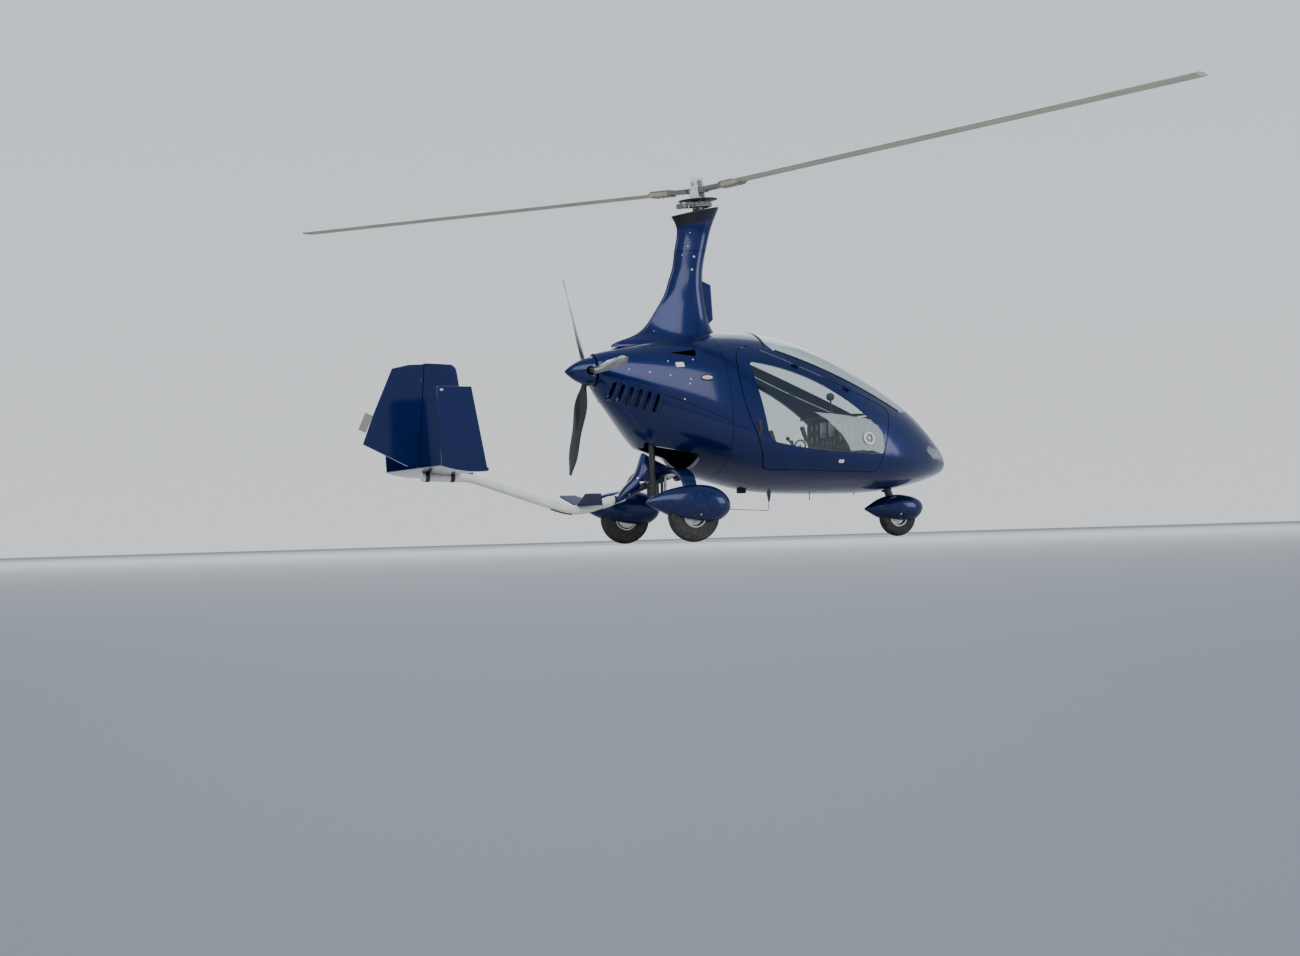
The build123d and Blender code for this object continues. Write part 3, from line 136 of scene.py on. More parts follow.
class Finish:
    """A material with its main shader, its place coordinates and the textures that read them."""

    def __init__(self, name, colour, roughness, metallic=0.0, coat=0.0, specular=0.5):
        self.material = bpy.data.materials.new(name)
        self.material.use_nodes = True
        self.material.diffuse_color = (*colour, 1.0)
        self.tree = self.material.node_tree
        self.shader = self.tree.nodes["Principled BSDF"]
        place = self.tree.nodes.new("ShaderNodeTexCoord").outputs["Object"]
        self.place = Signal(place)
        split = self.tree.nodes.new("ShaderNodeSeparateXYZ")
        self.tree.links.new(place, split.inputs[0])
        self.x, self.y, self.z = (Signal(socket) for socket in split.outputs)
        self.put("Base Color", (*colour, 1.0))
        self.put("Roughness", roughness)
        self.put("Metallic", metallic)
        self.put("Coat Weight", coat)
        self.put("Coat Roughness", 0.03)
        self.put("Coat IOR", 1.38)
        self.put("Specular IOR Level", specular)

    def put(self, name, value):
        """Feed one input of the main shader."""
        feed(self.shader.inputs[name], value)

    def noise(self, per_metre, detail=2.0, rough=0.5, stretch=None):
        """Cloud noise, 0 to 1, so many cells to the metre."""
        place = self.place
        if stretch:
            place = place.node("ShaderNodeVectorMath", {0: place, 1: stretch}, operation="MULTIPLY")
        inputs = {"Vector": place, "Scale": per_metre, "Detail": detail, "Roughness": rough}
        return place.node("ShaderNodeTexNoise", inputs)

    def cells(self, per_metre, output=0):
        """Voronoi cells: distance from the nearest seed, or another of its outputs."""
        inputs = {"Vector": self.place, "Scale": per_metre}
        return self.place.node("ShaderNodeTexVoronoi", inputs, output=output)

    def blend(self, share, first, second):
        """A colour between two, where each is a colour or a signal."""
        inputs = {"Factor": share, 6: first, 7: second}
        return self.place.node("ShaderNodeMix", inputs, output=2, data_type="RGBA")

    def bump(self, height, depth):
        """Relief in the surface, depth in metres."""
        inputs = {"Height": height, "Distance": depth, "Strength": 1.0}
        self.put("Normal", self.place.node("ShaderNodeBump", inputs))


def rgb(red, green, blue):
    """A colour for a shader socket."""
    return (red, green, blue, 1.0)


def body_paint():
    """Dark metallic blue: fine flake, faint road film low down, dark gaps between panels."""
    paint = Finish("body_paint", (0.002, 0.012, 0.110), 0.34, metallic=0.55, coat=1.0, specular=0.12)
    flake = paint.cells(900.0, output="Color")
    sparkle = paint.place.node("ShaderNodeSeparateColor", {0: flake})
    tone = paint.noise(1.3, detail=3.0)
    film = (0.62 - paint.z).step(0.0, 0.45) * paint.noise(26.0, detail=6.0).step(0.45, 0.75)
    deep, bright = rgb(0.0007, 0.0048, 0.036), rgb(0.0018, 0.0165, 0.140)
    colour = paint.blend((sparkle * 0.55 + tone * 0.5).step(0.15, 1.0), deep, bright)
    colour = paint.blend(film * 0.16, colour, rgb(0.16, 0.15, 0.13))
    start, end = COWL_SPLIT
    slope = (end.z - start.z) / (end.x - start.x)
    off_split = abs(paint.z - (paint.x - start.x) * slope - start.z) * math.cos(math.atan(slope))
    aft = (BULKHEAD_X - paint.x).step(0.0, 2 * SHARP)
    cowl_gap = (1.0 - off_split.step(GAP_CORE, GAP_RIM)) * aft
    cabin_gap = 1.0 - abs(paint.x - BULKHEAD_X).step(GAP_CORE, GAP_RIM)
    up_mast = (paint.z - HULL_TOP).step(0.0, SHARP)
    on_hull = paint.z.step(HULL_BELLY, HULL_BELLY + 0.01) * (1.0 - up_mast)
    on_hull = on_hull * (paint.x - HULL_TAIL).step(0.0, SHARP)
    mast_gap = (1.0 - abs(paint.z - MAST_JOINT).step(0.0015, 0.003)) * up_mast
    collar = (paint.z - (paint.x * CUP_SLOPE + CUP_EDGE) + COLLAR_DEEP).step(0.0, 4 * SHARP) * up_mast
    dark = (cowl_gap.larger(cabin_gap) * on_hull).larger(mast_gap)
    colour = paint.blend(collar, colour, rgb(0.0015, 0.0035, 0.0150))
    paint.put("Base Color", paint.blend(dark, colour, rgb(0.001, 0.001, 0.002)))
    paint.put("Metallic", 0.55 - dark * 0.55)
    paint.put("Roughness", 0.30 + sparkle * 0.10 + film * 0.25 + dark * 0.4)
    paint.put("Coat Weight", 1.0 - film * 0.35 - dark)
    paint.put("Coat Roughness", 0.11)
    paint.bump(sparkle, 0.00004)
    return paint.material


def plain(name, colour, roughness, metallic=0.0, coat=0.0, grain=80.0, depth=0.00004, spread=0.25):
    """A small fitting's finish: one colour with its own mottling and relief."""
    made = Finish(name, colour, roughness, metallic=metallic, coat=coat)
    clouds = made.noise(grain, detail=4.0)
    darker = tuple(part * (1.0 - spread) for part in colour)
    made.put("Base Color", made.blend(clouds, rgb(*colour), rgb(*darker)))
    made.put("Roughness", roughness + clouds * 0.12)
    made.bump(clouds, depth)
    return made.material


def shade(finish, *nodes):
    """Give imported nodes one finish."""
    for node in nodes:
        mesh = NODES[node].data
        mesh.materials.clear()
        mesh.materials.append(finish)


shade(body_paint(), "cabin_shell", "door_right", "door_left", "cowl_upper", "cowl_lower", "mast_fairing",
      "main_spats", "spat_nose", "keel_spine", "gear_bow", "tailplane", "fin", "rudder", "endplates",
      "prop_spinner")
shade(plain("winglet_paint", (0.0025, 0.012, 0.080), 0.5), "tube_winglets")


# Windows
# The windscreen and the two door windows are thin clear acrylic, blown so that they bulge outwards.
# The screen is bonded to the cabin's frame, and each window sits in its door.
def glazing(name, tint, haze):
    """Clear acrylic: mostly see-through, with a mirror that grows towards the rim of each curve."""
    pane = Finish(name, tint, 0.03, metallic=1.0)
    tree = pane.tree
    scratches = pane.noise(300.0, detail=4.0)
    pane.put("Roughness", 0.015 + scratches * 0.02)
    clear = tree.nodes.new("ShaderNodeBsdfTransparent")
    clear.inputs["Color"].default_value = rgb(0.90, 0.93, 0.93)
    facing = pane.place.node("ShaderNodeLayerWeight", {"Blend": 0.5}, output=1)
    mirror = 0.04 + facing.maths("POWER", facing, 5.0) * 0.96
    mix = tree.nodes.new("ShaderNodeMixShader")
    feed(mix.inputs[0], (mirror + haze).smaller(1.0))
    tree.links.new(clear.outputs[0], mix.inputs[1])
    tree.links.new(pane.shader.outputs[0], mix.inputs[2])
    tree.links.new(mix.outputs[0], tree.nodes["Material Output"].inputs["Surface"])
    return pane.material


CLEAR_ACRYLIC = glazing("glazing", (0.90, 0.94, 0.96), 0.01)
shade(CLEAR_ACRYLIC, "windscreen", "door_glass_right", "door_glass_left")


# Engine bay and nose fork
# Closed cowls hide the engine, one plain block on its mount tubes behind the sheet firewall. The
# exhaust outlet and the nose fork are steel tube; all have the same dark, slightly stained surface.
def dark_steel():
    """Dark plated steel and cast machinery."""
    metal = Finish("dark_steel", (0.055, 0.055, 0.06), 0.42, metallic=0.8)
    grit = metal.noise(420.0, detail=3.0)
    stain = metal.noise(30.0, detail=5.0).step(0.4, 0.75)
    metal.put("Base Color", metal.blend(stain * 0.6, rgb(0.060, 0.060, 0.065), rgb(0.022, 0.020, 0.018)))
    metal.put("Roughness", 0.33 + grit * 0.25)
    metal.bump(grit, 0.0001)
    return metal.material


DARK_STEEL = dark_steel()
shade(DARK_STEEL, "engine_block", "firewall", "exhaust_outlet", "nose_fork")


# Body fasteners and skin fittings
# Steel screws with white caps, blank labels, side lamps, door handles and window vents lie on the
# painted skins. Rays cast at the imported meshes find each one's seat, so they follow the curves.
WHITE = plain("white_enamel", (0.80, 0.80, 0.78), 0.35, coat=0.3)
ZINC = plain("zinc_bolts", (0.62, 0.62, 0.60), 0.30, metallic=1.0)
SEAL = plain("rubber_seal", (0.012, 0.012, 0.012), 0.55)
PEARL = plain("lamp_pearl", (0.82, 0.66, 0.66), 0.12, coat=0.8, spread=0.1)
SIDES = (-1, 1)
SOFT_CURVE = math.radians(38.0)


def skin(*nodes):
    """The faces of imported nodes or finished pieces, to cast rays at."""
    corners, faces = [], []
    for node in nodes:
        mesh = NODES[node].data if isinstance(node, str) else node.data
        start = len(corners)
        corners += [vertex.co.copy() for vertex in mesh.vertices]
        faces += [[start + index for index in face.vertices] for face in mesh.polygons]
    return BVHTree.FromPolygons(corners, faces)


def seat(tree, start, aim):
    """Where a ray meets a skin, and the skin's direction outwards there."""
    point, normal, _, _ = tree.ray_cast(Vector(start), Vector(aim))
    if point is None:
        return None
    return point, (normal if normal.dot(Vector(aim)) < 0 else -normal)


def flank(tree, x, z, side):
    """A seat on one flank, at a station and height, or close by where a panel gap lies there."""
    for nudge in (0.0, 0.001, -0.001, 0.004, -0.004):
        spot = seat(tree, (x + nudge, 3.0 * side, z + nudge), (0, -side, 0))
        if spot and spot[0].y * side > 0:
            return spot
    return None


def geometry_node(tree, kind, inputs, **settings):
    """One node of a Geometry Nodes tree; an input is a value or another node's output."""
    made = tree.nodes.new(kind)
    for name, value in settings.items():
        setattr(made, name, value)
    for key, value in inputs.items():
        if isinstance(value, bpy.types.NodeSocket):
            tree.links.new(value, made.inputs[key])
        else:
            made.inputs[key].default_value = value
    return made


def stud_tree():
    """Geometry Nodes: a stepped head with a socket at each vertex, square to its facing."""
    tree = bpy.data.node_groups.new("studs", "GeometryNodeTree")
    for name, kind in (("Geometry", "Geometry"), ("Sides", "Int"), ("Radius", "Float"),
                       ("Height", "Float"), ("Finish", "Material")):
        tree.interface.new_socket(name, in_out="INPUT", socket_type="NodeSocket" + kind)
    tree.interface.new_socket("Geometry", in_out="OUTPUT", socket_type="NodeSocketGeometry")
    given = tree.nodes.new("NodeGroupInput").outputs
    head = geometry_node(tree, "GeometryNodeMeshCylinder", {
        "Vertices": given["Sides"], "Radius": given["Radius"], "Depth": given["Height"]})
    mesh, top = head.outputs["Mesh"], head.outputs["Top"]
    for rise, spread in ((0.35, 0.82), (0.0, 0.55), (-0.5, 0.95)):
        lift = geometry_node(tree, "ShaderNodeMath", {0: given["Height"], 1: rise}, operation="MULTIPLY")
        step = geometry_node(tree, "GeometryNodeExtrudeMesh", {
            "Mesh": mesh, "Selection": top, "Offset Scale": lift.outputs[0], "Individual": False})
        drawn = geometry_node(tree, "GeometryNodeScaleElements", {
            "Geometry": step.outputs["Mesh"], "Selection": step.outputs["Top"], "Scale": spread})
        mesh, top = drawn.outputs[0], step.outputs["Top"]
    named = {"Name": "facing"}
    facing = geometry_node(tree, "GeometryNodeInputNamedAttribute", named, data_type="FLOAT_VECTOR")
    turn = geometry_node(tree, "FunctionNodeAlignRotationToVector", {"Vector": facing.outputs[0]}, axis="Z")
    placed = geometry_node(tree, "GeometryNodeInstanceOnPoints", {
        "Points": given["Geometry"], "Instance": mesh, "Rotation": turn.outputs[0]})
    real = geometry_node(tree, "GeometryNodeRealizeInstances", {0: placed.outputs[0]})
    painted = geometry_node(tree, "GeometryNodeSetMaterial", {
        0: real.outputs[0], "Material": given["Finish"]})
    out = tree.nodes.new("NodeGroupOutput")
    tree.links.new(painted.outputs[0], out.inputs[0])
    return tree


STUDS = stud_tree()


def new_object(name, data):
    """An object of the scene."""
    made = bpy.data.objects.new(name, data)
    bpy.context.scene.collection.objects.link(made)
    return made


def bake_modifiers(piece):
    """Make a piece's modifiers its plain mesh."""
    made = bpy.data.meshes.new_from_object(piece.evaluated_get(bpy.context.evaluated_depsgraph_get()))
    piece.modifiers.clear()
    piece.data = made


def studs(name, body, seats, radius, height, finish, sides=14):
    """One piece of many like heads, each a point and its facing."""
    seats = [spot for spot in seats if spot]
    mesh = bpy.data.meshes.new(name)
    mesh.from_pydata([point for point, _ in seats], [], [])
    facing = mesh.attributes.new("facing", "FLOAT_VECTOR", "POINT")
    facing.data.foreach_set("vector", [part for _, normal in seats for part in normal])
    piece = new_object(name, mesh)
    modifier = piece.modifiers.new("studs", "NODES")
    modifier.node_group = STUDS
    values = {"Sides": sides, "Radius": radius, "Height": height, "Finish": finish}
    for item in STUDS.interface.items_tree:
        if item.in_out == "INPUT" and item.name in values:
            modifier[item.identifier] = values[item.name]
    bake_modifiers(piece)
    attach(piece, body)


def finished(name, body, shape, finish):
    """A piece from a bmesh: faces outward, soft curves smooth, riding on a body."""
    bmesh.ops.remove_doubles(shape, verts=shape.verts, dist=0.00001)
    bmesh.ops.recalc_face_normals(shape, faces=shape.faces)
    mesh = bpy.data.meshes.new(name)
    shape.to_mesh(mesh)
    shape.free()
    mesh.shade_smooth()
    mesh.set_sharp_from_angle(angle=SOFT_CURVE)
    mesh.materials.append(finish)
    piece = new_object(name, mesh)
    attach(piece, body)
    return piece


def round_steps(count, start=0.0):
    """The cosine and sine of a turn's even steps; the first is so large a share of a step in."""
    turns = [math.tau * (number + start) / count for number in range(count)]
    return [(math.cos(turn), math.sin(turn)) for turn in turns]


def add_turned(shape, profile, at, axis, steps=32):
    """A (radius, height) profile turned about an axis."""
    axis = Vector(axis).normalized()
    side = axis.orthogonal().normalized()
    other = axis.cross(side)
    rings = []
    for radius, height in profile:
        middle = Vector(at) + axis * height
        spokes = round_steps(steps) if radius > 0 else [(1.0, 0.0)]
        rings.append([shape.verts.new(middle + radius * (c * side + s * other)) for c, s in spokes])
    for near, far in zip(rings, rings[1:]):
        for i in range(steps):
            j = (i + 1) % steps
            corners = [near[i % len(near)], near[j % len(near)], far[j % len(far)], far[i % len(far)]]
            shape.faces.new(dict.fromkeys(corners))


def add_patch(shape, tree, at, half, proud, side, square=2.0, crown=0.0):
    """A thin plate or dome on a flank: round, oval, or square-cornered where square is large."""
    (x, z), rings, steps = at, 6, 32
    middle, normal = flank(tree, x, z, side)
    layers = [[shape.verts.new(middle + normal * (proud + crown))]]
    for ring in list(range(1, rings + 1)) + [rings]:
        share, row = ring / rings, []
        skirt = len(layers) == rings + 1
        for c, s in round_steps(steps):
            reach = share / (abs(c) ** square + abs(s) ** square) ** (1 / square)
            spot = flank(tree, x + half[0] * c * reach, z + half[1] * s * reach, side)
            rise = -0.001 if skirt else proud + crown * (1 - share ** 2)
            row.append(shape.verts.new(spot[0] + spot[1] * rise))
        layers.append(row)
    for near, far in zip(layers, layers[1:]):
        for i in range(steps):
            j = (i + 1) % steps
            shape.faces.new(dict.fromkeys([near[i % len(near)], near[j % len(near)], far[j], far[i]]))


BODY_SKIN = skin("cabin_shell", "cowl_upper", "cowl_lower", "door_right", "door_left", "windscreen",
                 "headlamp_lenses")
MAST_SKIN = skin("mast_fairing")
COWL_SCREWS = ((-0.452, 1.296), (-0.320, 1.267), (-0.187, 1.239), (-0.182, 1.347), (-0.002, 1.354),
               (-0.050, 1.205), (-0.062, 1.170), (-0.107, 1.057))
MAST_SCREWS = ((0.163, 2.160), (0.143, 2.062))
MAST_STUDS = ((0.143, 2.344), (0.123, 2.240), (0.083, 2.175), (-0.171, 1.596))


def both_flanks(tree, places):
    """The seats of (x, z) places on the two flanks."""
    return [flank(tree, x, z, side) for x, z in places for side in SIDES]


studs("cowl_screws", "airframe", both_flanks(BODY_SKIN, COWL_SCREWS), 0.0055, 0.002, WHITE)
studs("mast_screws", "airframe", both_flanks(MAST_SKIN, MAST_SCREWS), 0.008, 0.004, WHITE)
studs("mast_studs", "airframe", both_flanks(MAST_SKIN, MAST_STUDS), 0.0045, 0.002, ZINC)

COWL_LABEL, DOOR_LABEL = (-0.105, 1.318), (1.093, 0.574)
SIDE_LAMP = (0.070, 1.213)
HANDLE_CUP, HANDLE_LEVER = (0.430, 0.834), (0.430, 0.846)
VENT_X, VENT_Z = 1.335, 0.743
VENT_RING = ((0.036, 0.0), (0.036, 0.007), (0.040, 0.011), (0.047, 0.011), (0.050, 0.007), (0.050, 0.0),
             (0.036, 0.0))
VENT_KNOB = ((0.0, 0.016), (0.006, 0.015), (0.009, 0.010), (0.009, 0.0))
plates, bases, lenses = bmesh.new(), bmesh.new(), bmesh.new()
for side in SIDES:
    add_patch(plates, BODY_SKIN, COWL_LABEL, (0.030, 0.018), 0.0008, side, square=8.0)
    add_patch(plates, BODY_SKIN, DOOR_LABEL, (0.022, 0.012), 0.0008, side, square=8.0)
    add_patch(bases, BODY_SKIN, SIDE_LAMP, (0.048, 0.025), 0.004, side)
    add_patch(lenses, BODY_SKIN, SIDE_LAMP, (0.038, 0.016), 0.0045, side, crown=0.018)
finished("blank_labels", "airframe", plates, WHITE)
finished("side_lamp_bases", "airframe", bases, SEAL)
finished("side_lamp_lenses", "airframe", lenses, PEARL)
for side, name in zip(SIDES, ("door_right", "door_left")):
    door_skin = skin(name)
    handle, lever, ring = bmesh.new(), bmesh.new(), bmesh.new()
    add_patch(handle, door_skin, HANDLE_CUP, (0.017, 0.056), 0.0012, side, square=6.0)
    add_patch(lever, door_skin, HANDLE_LEVER, (0.009, 0.036), 0.007, side, square=4.0)
    finished(name + "_handle_cup", name, handle, SEAL)
    finished(name + "_handle_lever", name, lever, DARK_STEEL)
    point, normal = flank(skin(name.replace("door", "door_glass")), VENT_X, VENT_Z, side)
    add_turned(ring, VENT_RING, point, normal, 48)
    add_turned(ring, VENT_KNOB, point, normal, 24)
    finished(name + "_vent_ring", name, ring, WHITE)

# Windscreen seal
# A black rubber strip beds the screen's lower edges and its rear edge across the roof. It is a flat
# extrusion, laid along the edge and bonded to both the screen and the shell.
SCREEN_LOW = ((0.676, 1.426), (1.150, 1.236), (1.715, 0.957))
SCREEN_REAR_X, SCREEN_TIP_X, STRIP_STEPS = 0.676, 1.712, 40
ROOF_EDGE_X = 0.612


def through(points, x):
    """The height at x of the parabola through three points."""
    total = 0.0
    for i, (xi, zi) in enumerate(points):
        share = zi
        for j, (xj, _) in enumerate(points):
            share *= (x - xj) / (xi - xj) if i != j else 1.0
        total += share
    return total


def add_sweep(shape, places, outline):
    """Run a closed outline through (centre, across, up) places, with closed ends."""
    rings = [[shape.verts.new(centre + across * a + up * b) for a, b in outline]
             for centre, across, up in places]
    for near, far in zip(rings, rings[1:]):
        for i in range(len(outline)):
            j = (i + 1) % len(outline)
            shape.faces.new((near[i], near[j], far[j], far[i]))
    shape.faces.new(rings[0])
    shape.faces.new(rings[-1])


def flat_outline(width, thick):
    """A strap's section, its edges slightly broken."""
    w, t = width / 2, thick / 2
    upper = [(w, t * 0.4), (w * 0.97, t), (-w * 0.97, t), (-w, t * 0.4)]
    return [(-w, -t * 0.4), (-w * 0.97, -t), (w * 0.97, -t), (w, -t * 0.4)] + upper


def route(points, up=(0, 0, 1), ups=None):
    """Places along a path: each point with its across and up directions."""
    points = [Vector(point) for point in points]
    places, last = [], Vector(up)
    for i, point in enumerate(points):
        run = (points[min(i + 1, len(points) - 1)] - points[max(i - 1, 0)]).normalized()
        last = Vector(ups[i]) if ups else last
        across = run.cross(last).normalized()
        last = across.cross(run).normalized()
        places.append((point, across, last))
    return places


def add_strip(shape, seats, outline):
    """A strip along seats on a skin, flat against it."""
    add_sweep(shape, route([point for point, _ in seats], ups=[normal for _, normal in seats]), outline)


strip = bmesh.new()
for side in SIDES:
    stations = [SCREEN_REAR_X + (SCREEN_TIP_X - SCREEN_REAR_X) * i / STRIP_STEPS
                for i in range(STRIP_STEPS + 1)]
    low_edge = [flank(BODY_SKIN, x, through(SCREEN_LOW, x), side) for x in stations]
    add_strip(strip, low_edge, flat_outline(0.016, 0.006))
rear_edge = [seat(BODY_SKIN, (ROOF_EDGE_X, y / 100, 3.0), (0, 0, -1)) for y in range(-34, 35, 2)]
add_strip(strip, rear_edge, flat_outline(0.018, 0.006))
finished("windscreen_seal", "airframe", strip, SEAL)

# Headlamps
# Two bright pressed bowls with a bulb each sit behind either clear lens, on a grey back plate that
# follows the nose's curve. The lens is tinted acrylic, flush with the nose.
CHROME = plain("lamp_chrome", (0.90, 0.91, 0.92), 0.16, metallic=0.8, spread=0.05)
LAMP_PLACES = ((1.990, 0.632), (2.080, 0.622))
BOWL_RADIUS, BOWL_DEEP, BOWL_SUNK = 0.034, 0.030, 0.052
BOWL_WALL = [(0.037, 0.030), (0.037, 0.026), (0.012, -0.004), (0.0, -0.004)]
BULB = ((0.0, 0.020), (0.005, 0.018), (0.006, 0.002), (0.0, 0.0))
BACKING_AT, BACKING_DEEP = (2.035, 0.632), -0.060


def grey_paint():
    """Satin light grey sheet."""
    paint = Finish("grey_paint", (0.52, 0.53, 0.55), 0.4, coat=0.2)
    grain = paint.noise(120.0, detail=4.0)
    paint.put("Base Color", paint.blend(grain * 0.3, rgb(0.55, 0.56, 0.58), rgb(0.40, 0.41, 0.42)))
    paint.put("Roughness", 0.36 + grain * 0.15)
    paint.bump(grain, 0.00005)
    return paint.material


GREY_PAINT = grey_paint()
shade(glazing("lamp_glazing", (0.82, 0.86, 0.92), 0.20), "headlamp_lenses")
LAMP_SKIN = skin("headlamp_lenses")
bowl = [(BOWL_RADIUS * math.sqrt(i / 8), BOWL_DEEP * i / 8) for i in range(9)] + BOWL_WALL
for side, label in zip(SIDES, ("right", "left")):
    bowls, backing = bmesh.new(), bmesh.new()
    for x, z in LAMP_PLACES:
        point, normal = flank(LAMP_SKIN, x, z, side)
        aim = (normal + Vector((0.7, 0, 0))).normalized()
        base = point - normal * BOWL_SUNK
        add_turned(bowls, bowl, base, aim)
        add_turned(bowls, BULB, base, aim, 16)
    add_patch(backing, BODY_SKIN, BACKING_AT, (0.098, 0.034), BACKING_DEEP, side, square=3.0)
    finished("headlamp_bowls_" + label, "airframe", bowls, CHROME)
    finished("headlamp_backing_" + label, "airframe", backing, GREY_PAINT)

# Mast and rotor head fittings
# Head frame, gimbal and hub bar are machined alloy, the teeter tower is enamelled, the starter ring
# is steel with cut teeth, and rubber edges the mast's cup. Bolts hold the frame, the tower and the
# blade clamps, and two nuts the teeter bolt.
JOINTS = {joint["name"]: joint for joint in frame["joints"]}
HEAD_AT = Vector(JOINTS["head_pitch"]["pos_m"])
HEAD_UP = Vector(JOINTS["rotor_spin"]["axis"])
TEETER_AT = Vector(JOINTS["rotor_teeter"]["pos_m"])
TEETER_AXIS = Vector(JOINTS["rotor_teeter"]["axis"])
SPAN = TEETER_AXIS.cross(HEAD_UP).normalized()
HEAD_X = Vector((HEAD_UP.z, 0, -HEAD_UP.x))
HUB_DROP, TEETER_REACH = 0.053, 0.0525
HUB_AT = TEETER_AT - HEAD_UP * HUB_DROP
CUP_AT, CUP_STEPS = Vector((0.215, 0, 0)), 72
EDGING_RADIUS, EDGING_OUT = 0.0065, 0.0045
CLAMP_BOLTS_OUT, CLAMP_BOLTS_ACROSS = (0.10, 0.15, 0.262, 0.305, 0.348, 0.391), (-0.027, 0.027)
TOWER_BOLTS = ((-0.026, 0.10), (0.026, 0.10), (-0.02, 0.155), (0.02, 0.155))
FRAME_SIDE_BOLTS, FRAME_SIDE_UP = (-0.145, -0.038, 0.012, 0.046, 0.078), 0.046
FRAME_TOP_BOLTS, FRAME_TOP_ACROSS = (-0.145, -0.13, 0.068, 0.08), (-0.042, 0.042)
GEAR_RADIUS, GEAR_MIDDLE, GEAR_TEETH = 0.145, 0.0725, 116
HEAD_ALLOY = plain("head_alloy", (0.34, 0.345, 0.35), 0.36, metallic=0.9, grain=55.0, depth=0.00006,
                   spread=0.6)
shade(HEAD_ALLOY, "rotor_bearing_plate", "gimbal_cross", "hub_bar", "mast_head_post")
shade(WHITE, "teeter_tower")
shade(DARK_STEEL, "ring_gear")


def round_outline(radius, sides):
    """A circle's points."""
    return [(radius * c, radius * s) for c, s in round_steps(sides)]


edging, rim = bmesh.new(), []
for c, s in round_steps(CUP_STEPS) + round_steps(CUP_STEPS)[:1]:
    aim = Vector((c, s, 0))
    height = 2.44
    for _ in range(5):
        found = MAST_SKIN.ray_cast(CUP_AT + Vector((0, 0, height - 0.008)), aim)[0]
        reach = (found - CUP_AT).xy.length if found else reach
        height = CUP_EDGE + (CUP_AT.x + aim.x * reach) * CUP_SLOPE
    rim.append(CUP_AT + aim * (reach + EDGING_OUT) + Vector((0, 0, height - 0.001)))
add_sweep(edging, route(rim), round_outline(EDGING_RADIUS, 10))
finished("mast_rim_edging", "airframe", edging, SEAL)

BAR_SKIN, TOWER_SKIN, FRAME_SKIN = skin("hub_bar"), skin("teeter_tower"), skin("rotor_bearing_plate")
clamp_bolts = []
for end in SIDES:
    for out in CLAMP_BOLTS_OUT:
        for across in CLAMP_BOLTS_ACROSS:
            spot = HUB_AT + SPAN * end * out + TEETER_AXIS * across
            for face in SIDES:
                clamp_bolts.append(seat(BAR_SKIN, spot + HEAD_UP * face * 0.12, -HEAD_UP * face))
studs("blade_clamp_bolts", "rotor", clamp_bolts, 0.0075, 0.006, ZINC, sides=6)
teeter_ends = [(TEETER_AT + TEETER_AXIS * side * TEETER_REACH, TEETER_AXIS * side) for side in SIDES]
studs("teeter_nuts", "rotor_tower", teeter_ends, 0.015, 0.009, ZINC, sides=6)
tower_seats = []
for out, up in TOWER_BOLTS:
    spot = TEETER_AT + (SPAN * out + HEAD_UP * (up - 0.2))
    for side in SIDES:
        tower_seats.append(seat(TOWER_SKIN, spot + TEETER_AXIS * side * 0.2, -TEETER_AXIS * side))
studs("tower_bolts", "rotor_tower", tower_seats, 0.006, 0.004, ZINC, sides=6)
frame_seats = []
for out in FRAME_SIDE_BOLTS:
    spot = HEAD_AT + HEAD_X * out + HEAD_UP * FRAME_SIDE_UP
    for side in SIDES:
        frame_seats.append(seat(FRAME_SKIN, spot + Vector((0, side * 0.2, 0)), (0, -side, 0)))
for out in FRAME_TOP_BOLTS:
    spot = HEAD_AT + HEAD_X * out + HEAD_UP * 0.2
    for across in FRAME_TOP_ACROSS:
        frame_seats.append(seat(FRAME_SKIN, spot + Vector((0, across, 0)), -HEAD_UP))
studs("head_frame_bolts", "rotor_head", frame_seats, 0.0065, 0.0045, WHITE, sides=6)
teeth = []
for c, s in round_steps(GEAR_TEETH):
    out = c * HEAD_X + s * Vector((0, 1, 0))
    teeth.append((HEAD_AT + HEAD_UP * GEAR_MIDDLE + out * (GEAR_RADIUS + 0.001), out))
studs("starter_ring_teeth", "rotor_tower", teeth, 0.0030, 0.005, DARK_STEEL, sides=4)


# Rotor blades
# The two blades are alloy extrusions in satin putty-coloured paint, soiled in clouds by insects and
# dust. The hub bar's clamps hold their roots.
def blade_paint():
    """Satin putty-coloured paint, soiled in clouds."""
    clean, soiled = (0.37, 0.35, 0.25), (0.20, 0.185, 0.105)
    paint = Finish("blade_paint", clean, 0.32, metallic=0.15, coat=0.35)
    grain = paint.noise(60.0, detail=4.0)
    soil = paint.noise(5.0, detail=6.0).step(0.35, 0.8)
    paint.put("Base Color", paint.blend(soil * 0.45 + grain * 0.15, rgb(*clean), rgb(*soiled)))
    paint.put("Roughness", 0.25 + grain * 0.2)
    paint.bump(grain, 0.00006)
    return paint.material


shade(blade_paint(), "rotor_blades")


# Wheels
# Black tyres on machined alloy rims run on alloy stub axles. Each rim is held together by six bolts,
# and a steel brake disc sits inboard of each main wheel.
WHEELS = (("wheel_right", "rim_right", (-0.155, -0.693, 0.195), 0.052),
          ("wheel_left", "rim_left", (-0.155, 0.693, 0.195), 0.052),
          ("wheel_nose", "rim_nose", (1.869, 0.0, 0.150), 0.046))
RIM_BOLTS = 6
DISC_X, DISC_Y, DISC_Z = -0.155, 0.645, 0.195
DISC = ((0.024, 0.0), (0.072, 0.0), (0.072, 0.004), (0.024, 0.004), (0.024, 0.0))


